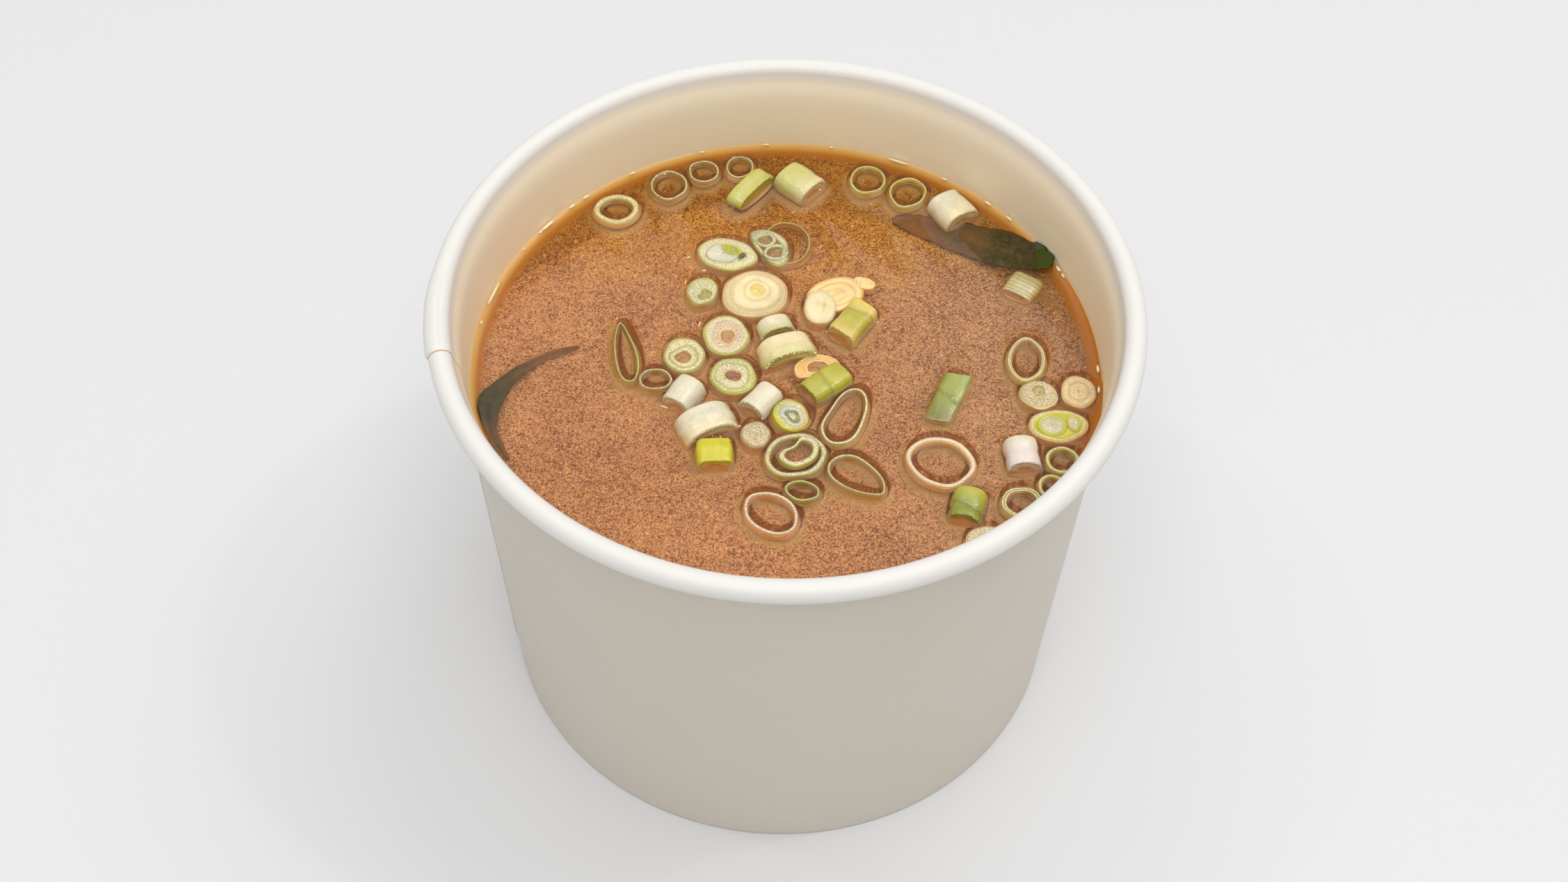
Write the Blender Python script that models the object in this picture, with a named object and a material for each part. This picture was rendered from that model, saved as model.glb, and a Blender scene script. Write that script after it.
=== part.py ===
"""Miso soup in a round white paper take-away cup, with sliced spring onion and wakame.

The cup stands on its folded skirt. Its sidewall is one lapped sheet, rolled out at the top into
a bead, and a flat disc sits on the fold inside. The soup fills it to a level below the rim and is
cut round everything that floats in it. Metres, +Z up, origin at the middle of the skirt's foot.
"""
import bpy
import bmesh
import math
from mathutils import Matrix, Vector

MM = 0.001
GAP = 0.3               # between pieces that touch, in mm like every size below

# the cup
RIM_RADIUS = 48.8       # outside of the bead, without the lap
CUP_HEIGHT = 73.0
BEAD_RADIUS = 1.7       # of the rolled bead's round section
FOOT_RADIUS = 42.0      # outside of the wall at the foot
MOUTH_RADIUS = 45.4     # outside of the wall where it would meet the rim's height
WALL = 0.5              # one sheet of coated paper
SKIRT = 1.2             # wall and folded hem together
HEM_HEIGHT = 7.0
BASE_THICKNESS = 0.5
COLUMNS = 48            # facets round the cup
LAP_EDGE = 193.5        # degrees, where the sheet's free edge shows on the rim
LAP_WIDTH = 11.0        # degrees of double sheet behind that edge
LAP_STEP = 0.4          # how far the double sheet stands proud
LAP_SLIT = 0.6          # degrees over which the step drops

# the soup
LEVEL = 58.8
MENISCUS_RISE = 0.6     # how far the soup climbs at the wall
MENISCUS_WIDTH = 2.4

# the sliced spring onion
SIDES = 10              # facets round a slice
SLICE_DEPTH = 2.6       # how deep an upright slice hangs below the level
FLOAT = 0.5             # how far its cut face stands above the level

COLOURS = {
    "paper": ((0.86, 0.84, 0.80), 0.55),
    "broth": ((0.45, 0.20, 0.07), 0.12),
    "wakame": ((0.03, 0.05, 0.01), 0.25),
    "white_onion": ((0.82, 0.78, 0.60), 0.35),
    "green_onion": ((0.42, 0.52, 0.10), 0.35),
}

# Upright slices, cut faces up: name, x, y, half length, half width, turn of the long way,
# wall (0 is a full disc), taper, bend, lean in degrees and the way it leans to, colour.
UPRIGHT = [
    ("ring_back_1", -25.7, 29.4, 3.35, 3.05, 0, 1.20, 0.00, 0.0, 0, 0, "white_onion"),
    ("ring_back_2", -18.2, 34.6, 3.10, 2.75, 75, 0.60, 0.00, 0.0, 0, 0, "green_onion"),
    ("ring_back_3", -13.1, 37.7, 2.40, 2.30, 0, 0.60, 0.00, 0.0, 0, 0, "green_onion"),
    ("ring_back_4", -7.7, 38.8, 2.35, 2.15, 90, 0.60, 0.00, 0.0, 0, 0, "white_onion"),
    ("ring_back_5", 11.6, 36.8, 3.00, 2.70, 80, 0.60, 0.00, 0.0, 0, 0, "green_onion"),
    ("ring_back_6", 17.6, 34.2, 3.20, 2.80, 60, 0.65, 0.12, 0.0, 0, 0, "green_onion"),
    ("disc_curl", -9.0, 20.8, 4.40, 3.10, -6, 0.00, 0.00, 0.0, 0, 0, "green_onion"),
    ("disc_two_lobes", -2.7, 22.4, 4.00, 2.30, -57, 0.00, 0.00, -0.18, 0, 0, "green_onion"),
    ("disc_crescent", -12.3, 13.4, 2.65, 2.25, 80, 0.00, 0.00, 0.0, 0, 0, "green_onion"),
    ("disc_cream_wide", -4.7, 13.1, 4.75, 4.50, 0, 0.00, 0.00, 0.0, 0, 0, "white_onion"),
    ("disc_cream_oval", 4.7, 10.9, 3.20, 2.35, 92, 0.00, 0.00, 0.0, 0, 0, "white_onion"),
    ("disc_amber_hole", -8.6, 5.1, 3.70, 3.30, 95, 0.00, 0.00, 0.0, 0, 0, "green_onion"),
    ("disc_two_layers", -14.3, 1.2, 3.30, 2.85, 102, 0.00, 0.00, 0.0, 0, 0, "green_onion"),
    ("disc_green_edge", -7.3, -2.4, 3.35, 3.25, 90, 0.00, 0.00, 0.0, 0, 0, "green_onion"),
    ("ring_dark_small", -18.1, -3.4, 2.30, 1.95, 10, 0.45, 0.00, 0.0, 0, 0, "green_onion"),
    ("ring_leaf_flat", -22.6, 1.4, 5.60, 1.60, 101, 0.45, -0.30, 0.0, 0, 0, "green_onion"),
    ("disc_beige", -3.9, -12.7, 2.30, 2.00, 90, 0.00, 0.00, 0.0, 0, 0, "white_onion"),
    ("disc_frothy", 1.4, -9.2, 2.80, 2.65, 90, 0.00, 0.00, 0.0, 14, 180, "green_onion"),
    ("ring_bean", 8.3, -9.1, 5.35, 2.90, 67, 0.55, -0.15, -0.03, 0, 0, "green_onion"),
    ("disc_heart", 1.6, -16.2, 4.35, 3.75, 30, 0.00, 0.00, 0.0, 0, 0, "green_onion"),
    ("ring_green_small", 2.6, -22.2, 2.45, 1.70, -10, 0.50, 0.00, 0.0, 0, 0, "green_onion"),
    ("ring_pinkish", -1.5, -26.0, 4.10, 3.10, -37, 0.65, 0.05, 0.0, 0, 0, "white_onion"),
    ("ring_leaf_point", 10.1, -19.5, 4.55, 2.65, -38, 0.50, -0.30, 0.0, 0, 0, "green_onion"),
    ("ring_right_oval", 33.8, 1.9, 4.00, 2.70, 82, 0.80, 0.00, 0.0, 0, 0, "green_onion"),
    ("disc_right_hole", 35.2, -4.45, 2.65, 2.55, 0, 0.00, 0.00, 0.0, 0, 0, "white_onion"),
    ("disc_right_cap", 40.75, -3.7, 2.60, 2.25, 90, 0.00, 0.00, 0.0, 0, 0, "white_onion"),
    ("disc_two_chambers", 37.6, -9.85, 4.05, 2.85, 6, 0.00, 0.00, 0.0, 0, 0, "green_onion"),
    ("ring_wide", 21.3, -16.7, 4.65, 4.30, -30, 1.00, 0.00, 0.0, 0, 0, "white_onion"),
    ("ring_right_hidden", 37.8, -15.9, 2.40, 2.30, 0, 0.60, 0.00, 0.0, 0, 0, "green_onion"),
    ("ring_right_green", 36.2, -20.4, 2.05, 1.95, 0, 0.55, 0.00, 0.0, 0, 0, "green_onion"),
    ("ring_right_frothy", 32.0, -23.3, 2.80, 2.75, 0, 0.80, 0.00, 0.0, 0, 0, "green_onion"),
    ("disc_rim_pink", 27.1, -30.0, 2.90, 2.75, 0, 0.00, 0.00, 0.0, 0, 0, "white_onion"),
]

# Slices on their side, showing their skin: name, x, y, turn of the stalk's axis, length along
# the axis, half width, half height, height of the axis above the level, dip of the axis, colour.
LYING = [
    ("chunk_back_green", -5.9, 33.9, -36, 2.9, 4.2, 1.5, 0.3, 0, "green_onion"),
    ("chunk_back_pale", 1.4, 35.6, -42, 5.9, 2.9, 2.2, -0.3, 0, "white_onion"),
    ("chunk_back_white", 24.2, 30.8, -55, 5.4, 2.9, 2.4, -0.5, 0, "white_onion"),
    ("chunk_middle_pale", -1.6, 6.7, 111, 2.9, 2.6, 2.4, -0.9, 0, "white_onion"),
    ("chunk_middle_wide", 0.1, 2.4, 111, 4.2, 4.1, 3.6, -1.6, 0, "green_onion"),
    ("chunk_square", 9.4, 7.9, 58, 6.9, 2.2, 1.9, -0.3, 0, "green_onion"),
    ("chunk_split", 5.6, -3.3, 40, 6.6, 2.2, 1.9, -0.6, 0, "green_onion"),
    ("chunk_left_white", -14.0, -6.1, 62, 4.9, 2.3, 2.2, -0.4, 0, "white_onion"),
    ("chunk_front_white", -10.6, -11.1, 116, 4.6, 4.1, 3.6, -1.6, 0, "white_onion"),
    ("chunk_inner_white", -3.3, -6.8, 54, 4.9, 2.1, 2.0, -0.4, 0, "white_onion"),
    ("chunk_vivid", -9.4, -16.3, 95, 4.1, 2.5, 2.1, -0.8, 0, "green_onion"),
    ("chunk_right_white", 32.4, -15.2, 97, 4.9, 2.3, 2.1, -0.5, 0, "white_onion"),
    ("chunk_right_green", 24.7, -24.0, 76, 5.0, 2.3, 1.9, -0.6, 0, "green_onion"),
    ("chunk_ribbed", 34.0, 16.1, 58, 4.3, 2.4, 1.2, -0.9, 0, "white_onion"),
    ("leaf_fold", 22.6, -5.2, 67, 8.6, 1.9, 0.7, -0.5, 7, "green_onion"),
]

# Wakame strips: name and stations of x, y and width along the middle of each.
STRIP_THICKNESS = 0.8
STRIP_TOP = 0.1
STRIPS = [
    ("wakame_right", [(12.5, 27.2, 1.2), (18.0, 26.4, 2.8), (24.0, 24.6, 3.4),
                      (29.5, 23.4, 4.4), (34.0, 22.2, 3.6), (37.0, 21.9, 2.6)]),
    ("wakame_left", [(-29.8, 3.2, 0.8), (-34.4, 1.2, 2.2), (-38.2, -2.6, 2.8),
                     (-40.4, -7.5, 3.0), (-39.8, -12.5, 2.6), (-37.8, -17.0, 1.0)]),
]


def clear_scene():
    for item in list(bpy.data.objects):
        bpy.data.objects.remove(item, do_unlink=True)


def new_collection(name):
    collection = bpy.data.collections.new(name)
    bpy.context.scene.collection.children.link(collection)
    return collection


def new_material(name):
    colour, roughness = COLOURS[name]
    material = bpy.data.materials.new(name)
    material.use_nodes = True
    shader = material.node_tree.nodes["Principled BSDF"]
    shader.inputs["Base Color"].default_value = (*colour, 1.0)
    shader.inputs["Roughness"].default_value = roughness
    shader.inputs["Metallic"].default_value = 0.0
    return material


def new_object(name, bm, collection, material=None, smooth=40.0):
    mesh = bpy.data.meshes.new(name)
    bmesh.ops.recalc_face_normals(bm, faces=bm.faces)
    bm.to_mesh(mesh)
    bm.free()
    mesh.shade_smooth()
    mesh.set_sharp_from_angle(angle=math.radians(smooth))
    if material:
        mesh.materials.append(material)
    item = bpy.data.objects.new(name, mesh)
    collection.objects.link(item)
    return item


def wall_outside(z):
    return FOOT_RADIUS + (MOUTH_RADIUS - FOOT_RADIUS) * z / CUP_HEIGHT


def wall_inside(z):
    return wall_outside(z) - WALL


def loft(rows, closed):
    """Skin rows of points; a closed loft joins the last row to the first, an open one is capped."""
    bm = bmesh.new()
    rings = [[bm.verts.new(point * MM) for point in row] for row in rows]
    pairs = list(zip(rings, rings[1:]))
    if closed:
        pairs.append((rings[-1], rings[0]))
    for low, high in pairs:
        for i in range(len(low)):
            j = (i + 1) % len(low)
            bm.faces.new((low[i], low[j], high[j], high[i]))
    if not closed:
        bm.faces.new(rings[0])
        bm.faces.new(rings[-1])
    return bm


def wall_profile():
    """The sidewall's section as (radius, height, share of the lap's step, lap direction)."""
    centre = Vector((RIM_RADIUS - BEAD_RADIUS, CUP_HEIGHT - BEAD_RADIUS))
    inner_hem = FOOT_RADIUS - SKIRT
    neck = CUP_HEIGHT - 2.0 * BEAD_RADIUS - 0.2
    flat = Vector((0.0, 0.0))
    points = [
        (inner_hem, 0.0, flat),
        (FOOT_RADIUS - 0.15, 0.0, flat),
        (wall_outside(0.3), 0.3, flat),
        (wall_outside(neck), neck, flat),
    ]
    for degrees in range(-130, 181, 31):
        angle = math.radians(degrees)
        way = Vector((math.cos(angle), math.sin(angle)))
        spot = centre + way * BEAD_RADIUS
        points.append((spot.x, spot.y, way))
    inward = Vector((-1.0, 0.0))
    points += [
        (wall_inside(neck) + 0.1, neck, inward),
        (wall_inside(LEVEL + 4.0), LEVEL + 4.0, inward),
        (wall_inside(LEVEL + 2.0), LEVEL + 2.0, flat),
        (wall_inside(HEM_HEIGHT), HEM_HEIGHT, flat),
        (inner_hem, HEM_HEIGHT, flat),
    ]
    return points


def make_cup_wall(collection, material):
    """Spin the section once round from the lap's free edge, lift the lap, and close the step."""
    profile = wall_profile()
    sweep = math.radians(360.0 - LAP_SLIT)
    start = math.radians(LAP_EDGE + LAP_SLIT / 2.0)
    rows = []
    for column in range(COLUMNS + 1):
        angle = start + sweep * column / COLUMNS
        behind = LAP_EDGE + 360.0 - math.degrees(angle)
        fade = min(1.0, max(0.0, (2.0 * LAP_WIDTH - behind) / LAP_WIDTH))
        step = LAP_STEP * fade * fade * (3.0 - 2.0 * fade)
        turn = Matrix.Rotation(angle, 3, "Z")
        row = []
        for radius, height, way in profile:
            row.append(turn @ Vector((radius + way.x * step, 0.0, height + way.y * step)))
        rows.append(row)
    bm = loft(rows, closed=True)
    return new_object("cup_wall", bm, collection, material)


def disc_rows(sections, columns):
    """Rows of a turned solid from (radius, height) pairs."""
    turns = [Matrix.Rotation(2.0 * math.pi * i / columns, 3, "Z") for i in range(columns)]
    return [[turn @ Vector((radius, 0.0, height)) for turn in turns] for radius, height in sections]


def make_cup_base(collection, material):
    low = HEM_HEIGHT + GAP
    edge = wall_inside(low) - GAP
    bm = bmesh.new()
    bmesh.ops.create_cone(
        bm,
        cap_ends=True,
        segments=COLUMNS,
        radius1=edge * MM,
        radius2=(edge - 0.1) * MM,
        depth=BASE_THICKNESS * MM,
        matrix=Matrix.Translation((0.0, 0.0, (low + BASE_THICKNESS / 2.0) * MM)),
    )
    return new_object("cup_base", bm, collection, material)


def outline(half_long, half_short, taper, bend, columns):
    """A closed outline: an ellipse, narrowed along its length by taper and curved by bend."""
    points = []
    for i in range(columns):
        angle = 2.0 * math.pi * i / columns
        along = math.cos(angle)
        across = math.sin(angle) * half_short * (1.0 + taper * along)
        across += bend * half_long * (along * along - 0.5)
        points.append(Vector((half_long * along, across, 0.0)))
    return points


def upright_place(x, y, turn, lean, lean_to):
    """Where an upright slice stands; it leans about the middle of its cut face."""
    tip = Matrix.Rotation(math.radians(lean_to), 4, "Z")
    tip = tip @ Matrix.Rotation(math.radians(-lean), 4, "Y")
    tip = tip @ Matrix.Rotation(math.radians(turn - lean_to), 4, "Z")
    return Matrix.Translation((x, y, LEVEL + FLOAT)) @ tip


def lying_place(x, y, turn, height, dip):
    """Where a slice on its side lies; local X runs along the stalk."""
    place = Matrix.Translation((x, y, LEVEL + height))
    place = place @ Matrix.Rotation(math.radians(turn), 4, "Z")
    return place @ Matrix.Rotation(math.radians(-dip), 4, "Y")


def ring_rows(shape, grow, place, top, bottom):
    """A tube standing on end: outer skin, rounded cut face and inner skin of one leaf layer."""
    half_long, half_short, wall, taper, bend = shape
    columns = SIDES if half_long < 4.2 else SIDES + 4

    def row(inset, height):
        base = outline(half_long - inset, half_short - inset, taper, bend, columns)
        return [place @ (point + Vector((0.0, 0.0, height))) for point in base]

    if grow:
        return [row(-GAP, bottom), row(-GAP, top), row(wall + GAP, top), row(wall + GAP, bottom)]
    return [row(0.0, bottom), row(0.0, top - 0.2), row(wall / 2.0, top), row(wall, top - 0.2),
            row(wall, bottom)]


def disc_shape_rows(shape, grow, place, top, bottom):
    """A full slice: a rounded edge and a cut face that sinks a little towards its core."""
    half_long, half_short, _, taper, bend = shape

    def row(scale, height):
        spread = GAP if grow else 0.0
        long_way = half_long * scale + spread
        base = outline(long_way, half_short * scale + spread, taper, bend, SIDES)
        return [place @ (point + Vector((0.0, 0.0, height))) for point in base]

    if grow:
        return [row(1.0, bottom), row(1.0, top)]
    return [row(0.9, bottom), row(1.0, bottom + 0.4), row(1.0, top - 0.25), row(0.88, top),
            row(0.4, top - 0.25)]


def make_upright(entry, collection, materials, cutters):
    name, x, y, half_long, half_short, turn, wall, taper, bend, lean, lean_to, colour = entry
    shape = (half_long, half_short, wall, taper, bend)
    place = upright_place(x, y, turn, lean, lean_to)
    depth = -(SLICE_DEPTH + FLOAT)
    rows_of = ring_rows if wall else disc_shape_rows
    closed = wall > 0.0
    bm = loft(rows_of(shape, False, place, 0.0, depth), closed)
    new_object(name, bm, collection, materials[colour])
    cutter_bm = loft(rows_of(shape, True, place, 2.0, depth - GAP), closed)
    new_object("cutter_" + name, cutter_bm, cutters)


def lying_rows(length, half_width, half_height, place, grow):
    """A short stalk on its side: its skin, and two cut ends that sink a little to the core."""
    spread = GAP if grow else 0.0
    reach = length / 2.0 + spread

    def row(scale, along):
        points = []
        for i in range(SIDES):
            angle = 2.0 * math.pi * i / SIDES
            across = (half_width + spread) * scale * math.cos(angle)
            height = (half_height + spread) * scale * math.sin(angle)
            points.append(place @ Vector((along, across, height)))
        return points

    if grow:
        return [row(1.0, -reach), row(1.0, reach)]
    return [row(0.75, -reach + 0.25), row(1.0, -reach), row(1.0, reach), row(0.75, reach - 0.25)]


def make_lying(entry, collection, materials, cutters):
    name, x, y, turn, length, half_width, half_height, height, dip, colour = entry
    place = lying_place(x, y, turn, height, dip)
    bm = loft(lying_rows(length, half_width, half_height, place, False), closed=False)
    new_object(name, bm, collection, materials[colour], smooth=50.0)
    cutter_bm = loft(lying_rows(length, half_width, half_height, place, True), closed=False)
    new_object("cutter_" + name, cutter_bm, cutters)


def strip_rows(stations, top, bottom, spread):
    """A flat band along its stations, square in section."""
    spots = [Vector((x, y, 0.0)) for x, y, _ in stations]
    rows = []
    for i, (_, _, width) in enumerate(stations):
        before = spots[max(i - 1, 0)]
        after = spots[min(i + 1, len(spots) - 1)]
        forward = (after - before).normalized()
        side = Vector((-forward.y, forward.x, 0.0)) * (width / 2.0 + spread)
        ends = {0: -spread, len(spots) - 1: spread}
        middle = spots[i] + forward * ends.get(i, 0.0)
        lift = [Vector((0.0, 0.0, bottom)), Vector((0.0, 0.0, top))]
        rows.append([middle - side + lift[0], middle + side + lift[0],
                     middle + side + lift[1], middle - side + lift[1]])
    return rows


def make_strip(name, stations, collection, material, cutters):
    top = LEVEL + STRIP_TOP
    bottom = top - STRIP_THICKNESS
    bm = loft(strip_rows(stations, top, bottom, 0.0), closed=False)
    new_object(name, bm, collection, material)
    cutter_bm = loft(strip_rows(stations, top + 1.0, bottom - GAP, GAP), closed=False)
    new_object("cutter_" + name, cutter_bm, cutters)


def make_soup(collection, material, cutters):
    """The broth, with its edge climbing the wall, cut round all that floats in it."""
    low = HEM_HEIGHT + BASE_THICKNESS + 2.0 * GAP
    high = LEVEL + MENISCUS_RISE
    sections = [
        (wall_inside(low) - GAP, low),
        (wall_inside(high) - GAP, high),
        (wall_inside(LEVEL) - GAP - MENISCUS_WIDTH * 0.4, LEVEL + MENISCUS_RISE * 0.25),
        (wall_inside(LEVEL) - GAP - MENISCUS_WIDTH, LEVEL),
    ]
    bm = loft(disc_rows(sections, COLUMNS), closed=False)
    soup = new_object("soup", bm, collection, material)
    for cutter in cutters.objects:
        cutter.hide_render = True
        cutter.display_type = "WIRE"
    cut = soup.modifiers.new("cut_round_toppings", "BOOLEAN")
    cut.operation = "DIFFERENCE"
    cut.operand_type = "COLLECTION"
    cut.collection = cutters
    cut.solver = "EXACT"
    cut.use_self = True
    return soup


def main():
    clear_scene()
    parts = new_collection("miso_soup")
    cutters = new_collection("cutters")
    materials = {name: new_material(name) for name in COLOURS}
    make_cup_wall(parts, materials["paper"])
    make_cup_base(parts, materials["paper"])
    for entry in UPRIGHT:
        make_upright(entry, parts, materials, cutters)
    for entry in LYING:
        make_lying(entry, parts, materials, cutters)
    for name, stations in STRIPS:
        make_strip(name, stations, parts, materials["wakame"], cutters)
    make_soup(parts, materials["broth"], cutters)


main()
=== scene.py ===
import math

import bpy
import numpy as np
from mathutils import Matrix, Vector


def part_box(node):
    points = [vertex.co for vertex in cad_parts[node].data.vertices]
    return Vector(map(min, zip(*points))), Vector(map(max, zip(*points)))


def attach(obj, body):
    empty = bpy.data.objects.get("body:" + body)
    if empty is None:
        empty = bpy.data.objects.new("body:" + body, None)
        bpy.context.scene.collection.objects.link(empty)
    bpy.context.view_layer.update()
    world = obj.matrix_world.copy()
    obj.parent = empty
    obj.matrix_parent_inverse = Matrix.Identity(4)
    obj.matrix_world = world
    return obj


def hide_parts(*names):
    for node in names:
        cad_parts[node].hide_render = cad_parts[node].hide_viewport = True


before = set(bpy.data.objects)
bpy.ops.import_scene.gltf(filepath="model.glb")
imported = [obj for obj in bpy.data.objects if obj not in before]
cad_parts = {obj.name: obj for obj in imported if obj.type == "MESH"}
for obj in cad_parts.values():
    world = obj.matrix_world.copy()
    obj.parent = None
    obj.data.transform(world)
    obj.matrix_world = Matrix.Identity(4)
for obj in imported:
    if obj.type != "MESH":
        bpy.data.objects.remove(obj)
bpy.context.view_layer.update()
mm = 0.001  # every size below is in millimetres


def shade(red, green, blue):
    # a colour as picked in a paint program, turned into the linear values that shaders use
    value = np.array([red, green, blue], float) / 255.0
    linear = np.where(value <= 0.04045, value / 12.92, ((value + 0.055) / 1.055) ** 2.4)
    return tuple(float(part) for part in linear)


def ease(low, high, value):
    # 0 below low, 1 above high, with an S-shaped change between
    share = np.clip((value - low) / (high - low), 0.0, 1.0)
    return share * share * (3.0 - 2.0 * share)


def ripple(angle, seed, amount, first=2, count=5):
    # a gentle unevenness round a closed line: a few sine waves whose phases come from the seed
    dice = np.random.default_rng(seed)
    total = np.zeros_like(angle)
    for wave in range(first, first + count):
        total = total + np.sin(wave * angle + dice.uniform(0.0, 6.28)) * dice.uniform(0.4, 1.0) / wave
    return amount * total


def around(count):
    # evenly spread angles, once round
    return np.linspace(0.0, 2.0 * math.pi, count, endpoint=False)


def boxy(wave, power):
    # a sine or cosine pushed towards plus and minus one: 1 gives an ellipse, less a squarer one
    return np.sign(wave) * np.abs(wave) ** power


def spun(line, degrees):
    # points in x and y turned about the origin
    turn = math.radians(degrees)
    return line @ np.array([[math.cos(turn), math.sin(turn)], [-math.sin(turn), math.cos(turn)]])


def cornersOf(node):
    # a node's lowest and highest corners in millimetres
    low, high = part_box(node)
    return np.array(low) / mm, np.array(high) / mm


def middleOf(node):
    low, high = cornersOf(node)
    return (low + high) / 2.0


def addObject(name, data):
    item = bpy.data.objects.new(name, data)
    bpy.context.scene.collection.objects.link(item)
    return item


class Skin:
    # gathers grids of points into one mesh: each grid is rows by columns, closed round its columns

    def __init__(self):
        self.points, self.quads, self.fans, self.layers = [], [], [], []
        self.count = 0

    def keep(self, points, quads, fans, values):
        self.points.append(points)
        self.quads.append(quads)
        self.fans.append(fans)
        self.layers.append(values)
        self.count += len(points)

    def add(self, grid, layers, loop=False):
        # loop joins the last row to the first; otherwise both end rows are closed by a middle point
        rows, columns = grid.shape[:2]
        start = self.count
        index = start + np.arange(rows * columns).reshape(rows, columns)
        after = np.roll(index, -1, axis=1)
        low, high = (index, np.roll(index, -1, axis=0)) if loop else (index[:-1], index[1:])
        lowAfter, highAfter = (after, np.roll(after, -1, axis=0)) if loop else (after[:-1], after[1:])
        quads = np.stack([low, lowAfter, highAfter, high], axis=-1).reshape(-1, 4)
        points = grid.reshape(-1, 3)
        values = {name: value.reshape(rows * columns, -1) for name, value in layers.items()}
        fans = np.zeros((0, 3), int)
        if not loop:
            points = np.concatenate([points, [grid[0].mean(axis=0), grid[-1].mean(axis=0)]])
            first, last = start + rows * columns, start + rows * columns + 1
            fans = np.concatenate([
                np.stack([after[0], index[0], np.full(columns, first)], axis=-1),
                np.stack([index[-1], after[-1], np.full(columns, last)], axis=-1),
            ])
            for name, value in layers.items():
                tips = [value[row].reshape(columns, -1).mean(axis=0) for row in (0, -1)]
                values[name] = np.concatenate([values[name], tips])
        # turned over where the faces would look inward
        everything = np.concatenate([quads[:, [0, 1, 2]], quads[:, [0, 2, 3]], fans]) - start
        a, b, c = (points[everything[:, i]] for i in range(3))
        if float(np.einsum("ij,ij->i", a, np.cross(b, c)).sum()) < 0.0:
            quads, fans = quads[:, ::-1], fans[:, ::-1]
        self.keep(points, quads, fans, values)

    def build(self, name, material):
        points = np.concatenate(self.points) * mm
        quads = np.concatenate(self.quads)
        fans = np.concatenate(self.fans)
        mesh = bpy.data.meshes.new(name)
        mesh.vertices.add(len(points))
        mesh.vertices.foreach_set("co", points.astype(np.float32).ravel())
        corners = np.concatenate([quads.ravel(), fans.ravel()]).astype(np.int32)
        starts = np.concatenate([np.arange(len(quads)) * 4, len(quads) * 4 + np.arange(len(fans)) * 3])
        mesh.loops.add(len(corners))
        mesh.loops.foreach_set("vertex_index", corners)
        mesh.polygons.add(len(starts))
        mesh.polygons.foreach_set("loop_start", starts.astype(np.int32))
        mesh.polygons.foreach_set("use_smooth", np.ones(len(starts), bool))
        mesh.update(calc_edges=True)
        for layer in self.layers[0]:
            value = np.concatenate([part[layer] for part in self.layers])
            kind, field = ("FLOAT_VECTOR", "vector") if value.shape[1] == 3 else ("FLOAT", "value")
            kept = mesh.attributes.new(layer, kind, "POINT")
            kept.data.foreach_set(field, value.astype(np.float32).ravel())
        mesh.materials.append(material)
        return addObject(name, mesh)


def keepPiece(skin, name, material, slot, node=None):
    # the finished piece rides the part's one body and stands in for its node, if it has one
    piece = skin.build(name, material)
    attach(piece, "root")
    if node:
        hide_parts(node)


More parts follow.
